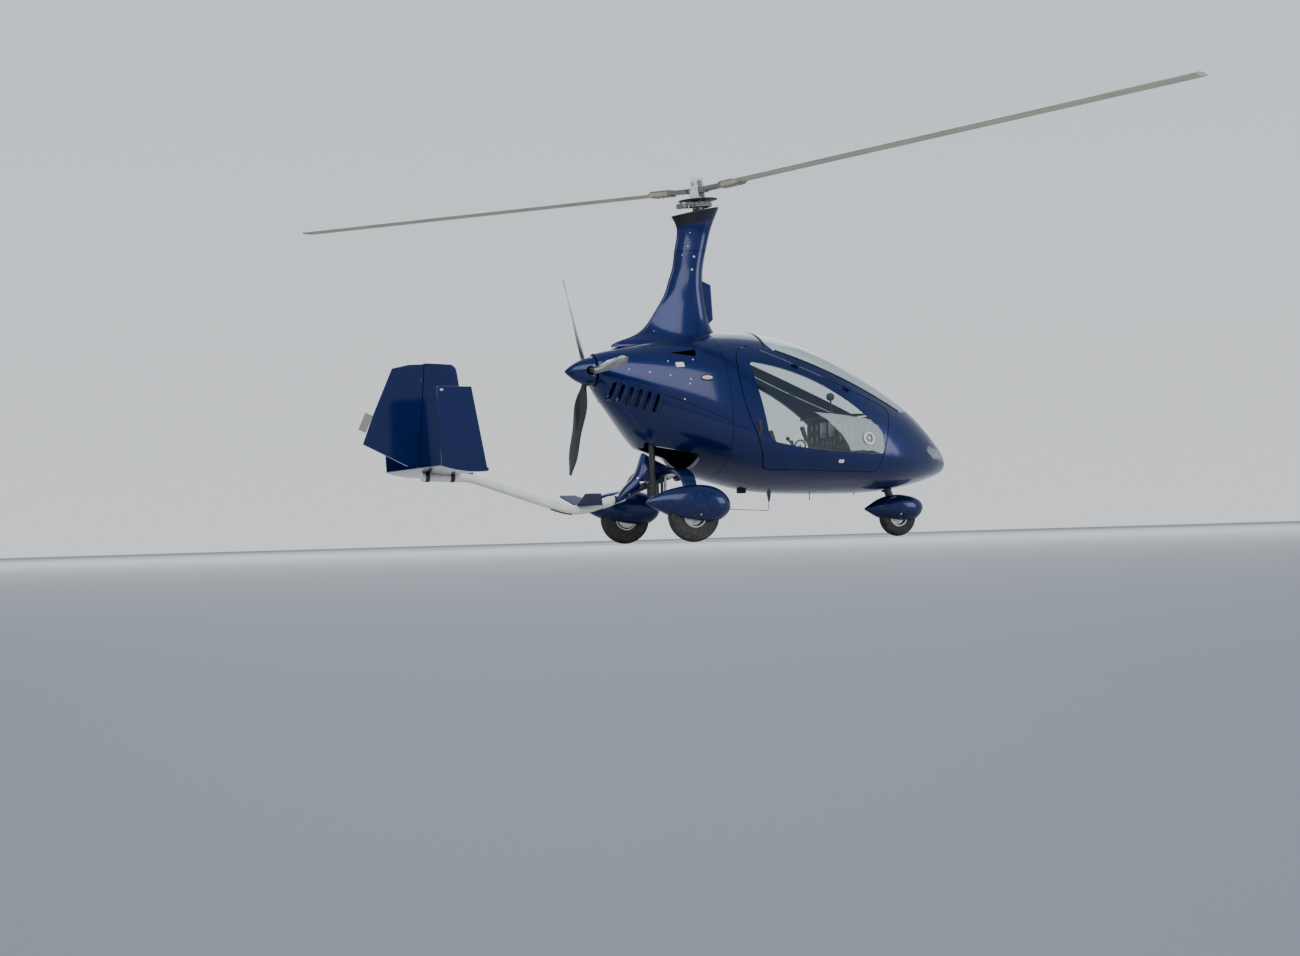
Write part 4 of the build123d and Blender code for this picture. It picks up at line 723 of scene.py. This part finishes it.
def tyre_rubber():
    """Matt black rubber, greyed in clouds by dust."""
    rubber = Finish("tyre_rubber", (0.022, 0.022, 0.022), 0.75, specular=0.35)
    grain = rubber.noise(700.0, detail=3.0)
    dust = rubber.noise(34.0, detail=5.0).step(0.35, 0.75)
    rubber.put("Base Color", rubber.blend(dust * 0.5, rgb(0.020, 0.020, 0.021), rgb(0.085, 0.080, 0.072)))
    rubber.put("Roughness", 0.66 + dust * 0.2)
    rubber.bump(grain, 0.00015)
    return rubber.material


def bare_alloy():
    """Machined, clear-anodised alloy with fine tool marks."""
    metal = Finish("bare_alloy", (0.62, 0.63, 0.64), 0.28, metallic=1.0)
    marks = metal.noise(900.0, detail=2.0, stretch=(1.0, 1.0, 0.05))
    stain = metal.noise(38.0, detail=5.0).step(0.4, 0.8)
    metal.put("Base Color", metal.blend(stain * 0.8, rgb(0.62, 0.63, 0.64), rgb(0.24, 0.24, 0.25)))
    metal.put("Roughness", 0.20 + marks * 0.22 + stain * 0.15)
    metal.bump(marks, 0.00003)
    return metal.material


BARE_ALLOY = bare_alloy()
shade(tyre_rubber(), "tyre_right", "tyre_left", "tyre_nose")
shade(BARE_ALLOY, "rim_right", "rim_left", "rim_nose", "main_axles")
for body, node, (x, y, z), circle in WHEELS:
    rim_skin, bolts = skin(node), []
    for c, s in round_steps(RIM_BOLTS, 0.5):
        spot = Vector((x + circle * c, y, z + circle * s))
        bolts += [seat(rim_skin, spot + Vector((0, side * 0.2, 0)), (0, -side, 0)) for side in SIDES]
    studs("rim_bolts_" + body, body, bolts, 0.0055, 0.005, ZINC, sides=6)
for side, body in zip(SIDES, ("wheel_right", "wheel_left")):
    disc = bmesh.new()
    add_turned(disc, DISC, (DISC_X, side * DISC_Y, DISC_Z), (0, side, 0), 48)
    finished("brake_disc_" + body, body, disc, ZINC)


# Spine, tail tube and belly fittings
# The white tail tube enters the spine through a sleeve, with a wear pad under its lowest bend and
# clamps that hold the tailplane. Two short tubes and two small cylinders sit by the bow leg, rubber
# blocks under the belly, and the rudder's trim tab is bent from plain alloy sheet.
SLEEVE_AT, SLEEVE_RUN = Vector((-0.530, 0, 0.325)), Vector((-385, 0, -111)).normalized()
SLEEVE = ((0.0345, 0.0), (0.0385, 0.003), (0.0385, 0.075), (0.0345, 0.078), (0.0345, 0.0))
CLAMP = ((0.0345, -0.016), (0.0385, -0.014), (0.0385, 0.014), (0.0345, 0.016), (0.0345, -0.016))
CLAMP_PLACES = ((-1.770, 0, 0.524), (-1.960, 0, 0.529))
SHORT_TUBE_Y, SHORT_TUBE_FOOT, SHORT_TUBE_RADIUS = -0.120, 0.372, 0.011
CYLINDER = ((0.0, 0.0), (0.012, 0.001), (0.014, 0.004), (0.014, 0.062), (0.012, 0.066), (0.005, 0.068),
            (0.005, 0.078), (0.0, 0.078))
BELLY_PEG = ((0.0, 0.0), (0.003, 0.001), (0.0035, 0.003), (0.0035, 0.050), (0.007, 0.052),
             (0.007, 0.060), (0.0, 0.060))
LOW_SCREWS = ((-0.331, 0.491), (-0.300, 0.440), (-0.135, 0.198), (1.860, 0.171), (-0.40, 0.37),
              (0.05, 0.59))
NOSE_GEAR_FROM_X = 1.5
TAIL_LAMP = (-2.052, 1.118)


def white_paint():
    """Gloss white powder coat with a little orange peel and film from the road."""
    paint = Finish("white_paint", (0.74, 0.75, 0.74), 0.22, coat=0.6)
    peel = paint.noise(260.0, detail=1.0)
    film = paint.noise(9.0, detail=6.0).step(0.4, 0.8)
    paint.put("Base Color", paint.blend(film * 0.4, rgb(0.76, 0.77, 0.76), rgb(0.50, 0.48, 0.42)))
    paint.put("Roughness", 0.2 + film * 0.2)
    paint.bump(peel, 0.00008)
    return paint.material


def add_block(shape, low, high, bevel=0.003):
    """A box with broken edges."""
    low, high = Vector(low), Vector(high)
    made = bmesh.ops.create_cube(shape, size=1.0)["verts"]
    for vertex in made:
        vertex.co = Vector([(l + h) / 2 + c * (h - l) for l, h, c in zip(low, high, vertex.co)])
    edges = list({edge for vertex in made for edge in vertex.link_edges})
    bmesh.ops.bevel(shape, geom=edges, offset=bevel, segments=2, profile=0.6, affect="EDGES")


WHITE_PAINT = white_paint()
shade(WHITE_PAINT, "tail_tube")
shade(plain("tab_alloy", (0.30, 0.29, 0.26), 0.45, metallic=0.3), "rudder_trim_tab")
TUBE_SKIN, LEG_SKIN = skin("tail_tube"), skin("gear_bow")
sleeve, clamps, pad, pipes, silver, blocks = (bmesh.new() for _ in range(6))
add_turned(sleeve, SLEEVE, SLEEVE_AT, SLEEVE_RUN, 40)
for place in CLAMP_PLACES:
    add_turned(clamps, CLAMP, place, (1, 0, 0.028), 40)
tube_under = [seat(TUBE_SKIN, (x / 1000, 0, 0.0), (0, 0, 1)) for x in range(-1010, -849, 10)]
add_strip(pad, [(point + normal * 0.0015, normal) for point, normal in tube_under],
          flat_outline(0.034, 0.007))
for x, mesh in ((-0.165, pipes), (-0.137, silver)):
    leg_under, _ = seat(LEG_SKIN, (x, SHORT_TUBE_Y, 0.20), (0, 0, 1))
    ends = [(x, SHORT_TUBE_Y, SHORT_TUBE_FOOT), (x, SHORT_TUBE_Y, leg_under.z + 0.006)]
    add_sweep(mesh, route(ends, up=(1, 0, 0)), round_outline(SHORT_TUBE_RADIUS, 16))
for z, mesh in ((0.452, silver), (0.418, pipes)):
    add_turned(mesh, CYLINDER, (-0.330, -0.082, z), (1, 0, 0.12), 24)
add_block(blocks, (0.509, -0.030, 0.360), (0.566, 0.030, 0.395), 0.004)
for x, low in ((1.113, 0.297), (1.495, 0.328)):
    add_turned(blocks, BELLY_PEG, (x, 0, low), (0, 0, 1), 16)
finished("tube_sleeve", "airframe", sleeve, WHITE_PAINT)
finished("tailplane_clamps", "airframe", clamps, DARK_STEEL)
finished("tube_wear_pad", "airframe", pad, SEAL)
finished("breather_pipe", "airframe", pipes, SEAL)
finished("leg_side_cylinder", "airframe", silver, BARE_ALLOY)
finished("belly_blocks", "airframe", blocks, SEAL)
LOW_SKIN, TAIL_SKIN = skin("keel_spine", "main_spats", "spat_nose"), skin("endplates", "fin")
low_seats = [flank(LOW_SKIN, x, z, side) for side in SIDES for x, z in LOW_SCREWS]
body_seats = [spot for spot in low_seats if spot and spot[0].x < NOSE_GEAR_FROM_X]
nose_seats = [spot for spot in low_seats if spot and spot[0].x > NOSE_GEAR_FROM_X]
studs("low_screws", "airframe", body_seats, 0.007, 0.003, ZINC)
studs("nose_spat_screws", "nose_gear", nose_seats, 0.007, 0.003, ZINC)
tail_lamps = bmesh.new()
for side in SIDES:
    add_patch(tail_lamps, TAIL_SKIN, TAIL_LAMP, (0.013, 0.009), 0.001, side, crown=0.010)
finished("tail_lamps", "airframe", tail_lamps, PEARL)


# Propeller fittings
# The three blades and their hub are black fibre composite under lacquer, and so is the rod of the
# belly aerial. Nine screws round its skirt hold the painted spinner.
PROP_AT = Vector(JOINTS["prop_spin"]["pos_m"])
SPINNER_SCREWS, SKIRT_AHEAD = 9, 0.022


def black_composite():
    """Black fibre composite under lacquer, with a faint twill."""
    skin_coat = Finish("black_composite", (0.012, 0.012, 0.014), 0.30, coat=0.9)
    across = skin_coat.x * 1900.0 + skin_coat.y * 1900.0
    along = skin_coat.x * 1900.0 - skin_coat.y * 1900.0 + skin_coat.z * 1400.0
    twill = (across.maths("SINE", across) * along.maths("SINE", along)).step(-0.4, 0.4)
    dust = skin_coat.noise(14.0, detail=5.0).step(0.45, 0.8)
    colour = skin_coat.blend(twill, rgb(0.009, 0.009, 0.011), rgb(0.020, 0.020, 0.023))
    skin_coat.put("Base Color", skin_coat.blend(dust * 0.12, colour, rgb(0.12, 0.11, 0.10)))
    skin_coat.put("Roughness", 0.26 + twill * 0.08 + dust * 0.2)
    skin_coat.bump(twill, 0.00002)
    return skin_coat.material


shade(black_composite(), "prop_blades", "prop_hub", "belly_aerial")
SPINNER_SKIN = skin("prop_spinner")
spinner_seats = []
for c, s in round_steps(SPINNER_SCREWS, 0.25):
    out = Vector((0, s, c))
    spinner_seats.append(seat(SPINNER_SKIN, PROP_AT + Vector((SKIRT_AHEAD, 0, 0)) + out * 0.3, -out))
studs("spinner_screws", "propeller", spinner_seats, 0.0045, 0.002, ZINC)

# Seats
# Two bucket seats in black leather over foam: each packed cushion and back is remeshed, drawn in a
# little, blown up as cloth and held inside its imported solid, then its seams are pressed in.
PAD_VOXEL, PAD_DRAW_IN, PAD_SWELL, PAD_FILL = 0.012, 0.010, 0.024, 0.6
PAD_PRESSURE, PAD_MASS, PAD_STEPS = 4.0, 0.4, 20
SEAM_WIDTH, SEAM_DEEP = 0.006, 0.007
CUSHION_MIDDLE, CUSHION_HALF = 0.293, 0.150
BACK_MIDDLE, BACK_HALF = 0.2575, 0.115
CHANNEL_PITCH = 0.085


def seat_leather():
    """Black leather: pebbled grain and soft creases."""
    hide = Finish("seat_cover", (0.045, 0.045, 0.048), 0.5, coat=0.12)
    pebble = hide.cells(620.0)
    crease = hide.noise(40.0, detail=6.0, rough=0.65)
    worn = pebble * 0.5 + crease * 0.4
    hide.put("Base Color", hide.blend(worn, rgb(0.036, 0.036, 0.040), rgb(0.085, 0.083, 0.085)))
    hide.put("Roughness", 0.40 + crease * 0.3)
    hide.bump(pebble * 0.6 + crease, 0.0005)
    return hide.material


SEAT_LEATHER = seat_leather()
shade(SEAT_LEATHER, "seat_cushions", "seat_backs")


def padded_seat(node, name, seams):
    """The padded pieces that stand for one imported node."""
    packed = skin(node)
    mesh = NODES[node].data.copy()
    pad = new_object(name, mesh)
    shape = bmesh.new()
    shape.from_mesh(mesh)
    bmesh.ops.remove_doubles(shape, verts=shape.verts, dist=0.0001)
    shape.to_mesh(mesh)
    shape.free()
    remesh = pad.modifiers.new("remesh", "REMESH")
    remesh.mode, remesh.voxel_size = "VOXEL", PAD_VOXEL
    bake_modifiers(pad)
    for vertex, inward in [(vertex, vertex.normal.copy()) for vertex in pad.data.vertices]:
        vertex.co -= inward * PAD_DRAW_IN
    start = [vertex.co.copy() for vertex in pad.data.vertices]
    cloth = pad.modifiers.new("cloth", "CLOTH")
    cloth.settings.use_pressure = True
    cloth.settings.uniform_pressure_force = PAD_PRESSURE
    cloth.settings.effector_weights.gravity = 0.0
    cloth.settings.mass = PAD_MASS
    cloth.settings.quality = 4
    cloth.point_cache.frame_start, cloth.point_cache.frame_end = 1, PAD_STEPS
    for number in range(1, PAD_STEPS + 1):
        bpy.context.scene.frame_set(number)
    bake_modifiers(pad)
    bpy.context.scene.frame_set(1)
    for vertex, before in zip(pad.data.vertices, start):
        move = vertex.co - before
        if move.length > PAD_SWELL:
            vertex.co = before + move.normalized() * PAD_SWELL
    smooth = pad.modifiers.new("smooth", "SMOOTH")
    smooth.iterations, smooth.factor = 4, 0.5
    finer = pad.modifiers.new("finer", "SUBSURF")
    finer.levels = finer.render_levels = 1
    bake_modifiers(pad)
    for vertex, normal in [(vertex, vertex.normal.copy()) for vertex in pad.data.vertices]:
        near, facing, _, _ = packed.find_nearest(vertex.co)
        if (vertex.co - near).dot(facing) > -0.0005:
            vertex.co = near - facing * 0.0005
        depth = sum(math.exp(-(seam(vertex.co) / SEAM_WIDTH) ** 2) for seam in seams)
        vertex.co -= normal * SEAM_DEEP * min(depth, 1.0)
    pad.data.shade_smooth()
    pad.data.materials.clear()
    pad.data.materials.append(SEAT_LEATHER)
    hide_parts(node)
    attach(pad, "airframe")
    return pad


def bolster(middle, half):
    """Distance from the two seams that run beside a seat's middle panel."""
    return lambda co: abs(abs(abs(co.y) - middle) - half)


def channels(coordinate, first, pitch, middle, half):
    """Distance from the sewn channels across a seat's middle panel."""
    def distance(co):
        if abs(abs(co.y) - middle) > half:
            return 1.0
        along = (co[coordinate] - first) / pitch
        return abs(along - round(along)) * pitch
    return distance


cushion_seams = (bolster(CUSHION_MIDDLE, CUSHION_HALF),
                 channels(0, 0.50, CHANNEL_PITCH, CUSHION_MIDDLE, CUSHION_HALF))
back_seams = (bolster(BACK_MIDDLE, BACK_HALF), channels(2, 0.72, CHANNEL_PITCH, BACK_MIDDLE, BACK_HALF))
cushions = padded_seat("seat_cushions", "cushions", cushion_seams)
backs = padded_seat("seat_backs", "seat_back_pads", back_seams)

# Harness
# Each seat has two shoulder straps and a lap belt in black webbing, joined at a steel buckle with a
# round release. The straps lie on the padded seats.
WEBBING = plain("harness_webbing", (0.03, 0.03, 0.032), 0.75, grain=500.0, depth=0.0003)
STRAP = (0.045, 0.003)
SHOULDER_TOP, SHOULDER_DROP, SHOULDER_POINTS = 1.180, 0.46, 22
LAP_OUT, LAP_IN, LAP_POINTS = 0.19, 0.155, 14
LAP_X, LAP_RUN, LAP_Y = 0.50, 0.06, 0.285
RELEASE = ((0.0, 0.004), (0.014, 0.003), (0.016, 0.0))
SEAT_SKIN = skin(cushions, backs)


def add_strap(starts, aim, lift, lies):
    """A strap over the seats, where rays from the starts meet them and the place is in reach."""
    found = [seat(SEAT_SKIN, start, aim) for start in starts]
    spots = [(spot[0] + spot[1] * lift, spot[1]) for spot in found if spot and lies(spot[0])]
    add_strip(webbing, spots, flat_outline(*STRAP))


webbing, buckles = bmesh.new(), bmesh.new()
for side in SIDES:
    for across in (-0.07, 0.07):
        shares = [i / (SHOULDER_POINTS - 1) for i in range(SHOULDER_POINTS)]
        starts = [(1.2, side * BACK_MIDDLE + across * (1.0 - 0.55 * share),
                   SHOULDER_TOP - SHOULDER_DROP * share) for share in shares]
        add_strap(starts, (-1, 0, 0), 0.004, lambda place: place.x < 0.5)
    for end in SIDES:
        shares = [i / (LAP_POINTS - 1) for i in range(LAP_POINTS)]
        starts = [(LAP_X + LAP_RUN * share, side * LAP_Y + end * (LAP_OUT - LAP_IN * share), 1.0)
                  for share in shares]
        add_strap(starts, (0, 0, -1), 0.005, lambda place: place.z > 0.55)
    point, _ = seat(SEAT_SKIN, (LAP_X + LAP_RUN, side * LAP_Y, 1.0), (0, 0, -1))
    low, high = point + Vector((-0.032, -0.034, 0.003)), point + Vector((0.032, 0.034, 0.020))
    add_block(buckles, low, high, 0.004)
    add_turned(buckles, RELEASE, point + Vector((0, 0, 0.020)), (0, 0, 1), 24)
finished("harness_webbing", "airframe", webbing, WEBBING)
finished("harness_buckles", "airframe", buckles, ZINC)

# Instruments and controls
# Round gauges with white marks and two dark screens fill the face of the moulded panel. Each seat has
# a steel stick and pedals; the throttle and brake levers stand on the console, a compass on its post.
SCREEN = plain("screen_glass", (0.010, 0.012, 0.016), 0.08, coat=1.0)
GAUGE_BLACK = plain("gauge_black", (0.016, 0.016, 0.017), 0.35, coat=0.6)
AFT = Vector((-1, 0, 0))
PANEL_FACE_X = 1.296
GAUGES = [(y, z, 0.036) for y in (-0.30, -0.21, 0.21, 0.30) for z in (0.86, 0.77)]
GAUGES += [(y, 0.735, 0.026) for y in (-0.10, -0.035, 0.035, 0.10)]
STICK_BOOT = ((0.0, 0.012), (0.02, 0.010), (0.034, 0.0), (0.038, -0.0005))
STICK_GRIP = ((0.0, 0.0), (0.014, 0.002), (0.017, 0.012), (0.015, 0.030), (0.018, 0.055),
              (0.016, 0.080), (0.020, 0.098), (0.014, 0.112), (0.0, 0.115))
LEVER_KNOB = ((0.0, 0.0), (0.012, 0.003), (0.016, 0.016), (0.012, 0.030), (0.0, 0.034))
COMPASS = ((0.0, 0.0), (0.020, 0.001), (0.030, 0.012), (0.032, 0.030), (0.026, 0.050), (0.0, 0.058))
COMPASS_POST = [(1.325, 0, 0.942), (1.325, 0, 1.00), (1.318, 0, 1.075)]
PILOT_Y, FLOOR_Z = 0.285, 0.443


def cabin_plastic():
    """Fine-grained matt black cabin moulding."""
    moulding = Finish("cabin_trim", (0.035, 0.035, 0.037), 0.6)
    pores = moulding.cells(1400.0)
    moulding.put("Base Color", moulding.blend(pores, rgb(0.030, 0.030, 0.032), rgb(0.052, 0.052, 0.055)))
    moulding.put("Roughness", 0.52 + pores * 0.3)
    moulding.bump(pores, 0.0001)
    return moulding.material


def flowing(points):
    """A smooth path through a few points."""
    points, between = [Vector(point) for point in points], 6
    ends = [2 * points[0] - points[1]] + points + [2 * points[-1] - points[-2]]
    path = []
    for a, b, c, d in zip(ends, ends[1:], ends[2:], ends[3:]):
        for i in range(between):
            t = i / between
            bend = (2 * a - 5 * b + 4 * c - d) * t ** 2 + (3 * b - a - 3 * c + d) * t ** 3
            path.append(0.5 * (2 * b + (c - a) * t + bend))
    return path + [points[-1]]


CABIN_TRIM = cabin_plastic()
shade(CABIN_TRIM, "instrument_console")
bezels, faces, marks, screens = (bmesh.new() for _ in range(4))
for y, z, radius in GAUGES:
    at = Vector((PANEL_FACE_X, y, z))
    bezel = [(radius, 0.0), (radius + 0.006, 0.0), (radius + 0.006, 0.006), (radius + 0.002, 0.010)]
    add_turned(bezels, bezel + [(radius, 0.006), (radius, 0.0)], at, AFT, 40)
    add_turned(faces, ((0.0, 0.002), (radius, 0.002), (radius, 0.0)), at, AFT, 40)
    for number in range(11):
        turn = math.radians(225 - 27 * number)
        out = Vector((0, math.cos(turn), math.sin(turn)))
        mark = [at + AFT * 0.0026 + out * radius * reach for reach in (0.74, 0.92)]
        add_sweep(marks, route(mark, up=AFT), flat_outline(0.0016, 0.0006))
    lean = math.radians(150 - 400 * (y + z))
    out = Vector((0, math.cos(lean), math.sin(lean)))
    hand = [at + AFT * 0.0032 + out * radius * reach for reach in (-0.15, 0.7)]
    add_sweep(marks, route(hand, up=AFT), flat_outline(0.0022, 0.0008))
for y in (-0.075, 0.075):
    low, high = (PANEL_FACE_X - 0.010, y - 0.062, 0.782), (PANEL_FACE_X - 0.0004, y + 0.062, 0.900)
    add_block(screens, low, high, 0.004)
finished("gauge_bezels", "airframe", bezels, DARK_STEEL)
finished("gauge_faces", "airframe", faces, GAUGE_BLACK)
finished("gauge_marks", "airframe", marks, WHITE)
finished("blank_screens", "airframe", screens, SCREEN)
sticks, grips, pedals = bmesh.new(), bmesh.new(), bmesh.new()
for side in SIDES:
    y = side * PILOT_Y
    shaft = flowing([(1.02, y, FLOOR_Z), (1.03, y, 0.55), (1.00, y, 0.68), (0.96, y, 0.76)])
    add_sweep(sticks, route(shaft, up=(1, 0, 0)), round_outline(0.010, 14))
    add_turned(sticks, STICK_BOOT, (1.02, y, FLOOR_Z - 0.0005), (0, 0, 1), 24)
    add_turned(grips, STICK_GRIP, (0.967, y, 0.745), (-0.35, 0, 1), 20)
    for inboard in (0.17, 0.33):
        y = side * inboard
        arm = flowing([(1.56, y, FLOOR_Z), (1.57, y, 0.52), (1.54, y, 0.60)])
        add_sweep(sticks, route(arm, up=(1, 0, 0)), round_outline(0.008, 12))
        add_block(pedals, (1.520, y - 0.045, 0.560), (1.534, y + 0.045, 0.640), 0.004)
for y, height in ((-0.035, 0.10), (0.030, 0.13)):
    lever = flowing([(1.02, y, 0.636), (1.00, y, 0.636 + height * 0.6), (0.96, y, 0.636 + height)])
    add_sweep(sticks, route(lever, up=(1, 0, 0)), round_outline(0.006, 12))
    add_turned(grips, LEVER_KNOB, (0.965, y, 0.63 + height), (-0.5, 0, 1), 20)
add_sweep(sticks, route(COMPASS_POST, up=(0, 1, 0)), round_outline(0.007, 12))
add_turned(grips, COMPASS, (1.345, 0, 1.095), (-1, 0, 0), 28)
finished("control_sticks", "airframe", sticks, DARK_STEEL)
finished("control_grips", "airframe", grips, CABIN_TRIM)
finished("rudder_pedals", "airframe", pedals, BARE_ALLOY)

# Head lining and rear trim
# A tan felt lining is glued under the roof behind the windscreen, and a grey felt board covers the
# bulkhead behind the seats.
LINING = plain("head_lining", (0.34, 0.30, 0.24), 0.85, grain=240.0, depth=0.0004)
FELT = plain("bulkhead_felt", (0.11, 0.11, 0.12), 0.9, grain=260.0, depth=0.0004)
LINING_REAR, LINING_FRONT, LINING_ROWS = 0.246, 0.590, 12
LINING_SPREAD, LINING_COLUMNS = 104, 40
LINING_FROM, BOARD_FROM = 1.15, 1.05
BOARD_FACES, BOARD_STEPS = (0.2315, 0.2355), 72
CABIN_SKIN = skin("cabin_shell")
lining, board = bmesh.new(), bmesh.new()
rows = []
for i in range(LINING_ROWS + 1):
    x, row = LINING_REAR + (LINING_FRONT - LINING_REAR) * i / LINING_ROWS, []
    centre = Vector((x, 0, LINING_FROM))
    for j in range(LINING_COLUMNS + 1):
        turn = math.radians(LINING_SPREAD * j / LINING_COLUMNS - LINING_SPREAD / 2)
        found = seat(CABIN_SKIN, centre, (0, math.sin(turn), math.cos(turn)))
        inside = found and found[0].z < 1.60 and (found[0] - centre).length > 0.25
        row.append(found[0] + found[1] * 0.004 if inside else None)
    rows.append(row)
for near, far in zip(rows, rows[1:]):
    for j in range(LINING_COLUMNS):
        corners = (near[j], near[j + 1], far[j + 1], far[j])
        if all(corner is not None for corner in corners):
            lining.faces.new([lining.verts.new(corner) for corner in corners])
rim = []
for c, s in round_steps(BOARD_STEPS):
    found = seat(CABIN_SKIN, (0.240, 0, BOARD_FROM), (0, s, c))
    if found:
        edge = found[0] + found[1] * 0.006
        if edge.z > 0.60:
            rim.append((edge.y, edge.z))
across, up = Vector((0, 1, 0)), Vector((0, 0, 1))
add_sweep(board, [(Vector((x, 0, 0)), across, up) for x in BOARD_FACES], rim)
lining_piece = finished("roof_lining", "airframe", lining, LINING)
thicken = lining_piece.modifiers.new("felt", "SOLIDIFY")
thicken.thickness, thicken.offset = 0.002, 0.0
bake_modifiers(lining_piece)
finished("bulkhead_board", "airframe", board, FELT)


# Camera
# It stands off the starboard side, a little behind the beam and almost on the floor, as the photograph
# looks up at the machine, and it has the photograph's lens. Metres and degrees.
CAMERA_AT = Vector((-7.173, -17.361, 0.03))
CAMERA_HEADING, CAMERA_CLIMB, CAMERA_ROLL = 21.851, 1.412, -1.648
CAMERA_LENS, SENSOR_WIDTH, CAMERA_REACH = 68.72, 36.0, 400.0
heading, climb, roll = (math.radians(angle) for angle in (CAMERA_HEADING, -CAMERA_CLIMB, CAMERA_ROLL))
level = math.cos(climb)
back = Vector((-math.sin(heading) * level, -math.cos(heading) * level, math.sin(climb)))
right = (-back).cross(Vector((0, 0, 1))).normalized()
up = right.cross(-back)
rolled_right = math.cos(roll) * right + math.sin(roll) * up
rolled_up = math.cos(roll) * up - math.sin(roll) * right
camera = new_object("camera", bpy.data.cameras.new("camera"))
turn = Matrix((rolled_right, rolled_up, back)).transposed().to_4x4()
camera.matrix_world = Matrix.Translation(CAMERA_AT) @ turn
camera.data.lens = CAMERA_LENS
camera.data.sensor_width = SENSOR_WIDTH
camera.data.clip_end = CAMERA_REACH
bpy.context.scene.camera = camera

# Floor and light
# A plain pale floor lies under a soft sky, pale at the horizon and bluer above. Three broad lamps
# light the machine: a warm key high on the camera's side, a cool fill off the nose, and a rim lamp on
# the far side.
FLOOR_HALF = 150.0
SKY_SEEN, SKY_LIGHT = 0.30, 0.80
bpy.ops.mesh.primitive_plane_add(size=2 * FLOOR_HALF)
floor = bpy.context.object
floor.name = "floor"
ground = Finish("floor", (0.55, 0.56, 0.56), 0.7)
clouds = ground.noise(0.7, detail=3.0)
ground.put("Base Color", ground.blend(clouds, rgb(0.60, 0.585, 0.56), rgb(0.64, 0.625, 0.60)))
floor.data.materials.append(ground.material)
floor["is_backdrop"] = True

world = bpy.data.worlds.new("studio")
bpy.context.scene.world = world
world.use_nodes = True
backdrop = world.node_tree.nodes["Background"]
sight = Signal(world.node_tree.nodes.new("ShaderNodeTexCoord").outputs["Generated"])
height = sight.node("ShaderNodeSeparateXYZ", {0: sight}, output="Z")
blend = {"Factor": height.step(-0.05, 0.75), 6: rgb(0.78, 0.82, 0.86), 7: rgb(0.46, 0.57, 0.74)}
feed(backdrop.inputs["Color"], height.node("ShaderNodeMix", blend, output=2, data_type="RGBA"))
seen = Signal(world.node_tree.nodes.new("ShaderNodeLightPath").outputs["Is Camera Ray"])
feed(backdrop.inputs["Strength"], seen * SKY_SEEN + SKY_LIGHT)
LAMPS = (("key", (-5.0, -9.0, 9.5), (0.0, 0.0, 1.0), (13.0, 9.0), 1300.0, (1.0, 0.97, 0.92)),
         ("fill", (9.0, -7.0, 4.0), (0.5, 0.0, 1.0), (5.0, 5.0), 350.0, (0.90, 0.95, 1.0)),
         ("rim", (3.0, 10.0, 8.0), (0.0, 0.0, 1.2), (12.0, 8.0), 400.0, (0.95, 0.97, 1.0)))
for name, at, aim, size, power, colour in LAMPS:
    lamp = new_object(name, bpy.data.lights.new(name, "AREA"))
    lamp.data.shape = "RECTANGLE"
    lamp.data.size, lamp.data.size_y = size
    lamp.data.energy = power
    lamp.data.color = colour
    lamp.location = at
    lamp.rotation_euler = (Vector(aim) - Vector(at)).to_track_quat("-Z", "Y").to_euler()

low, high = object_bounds()
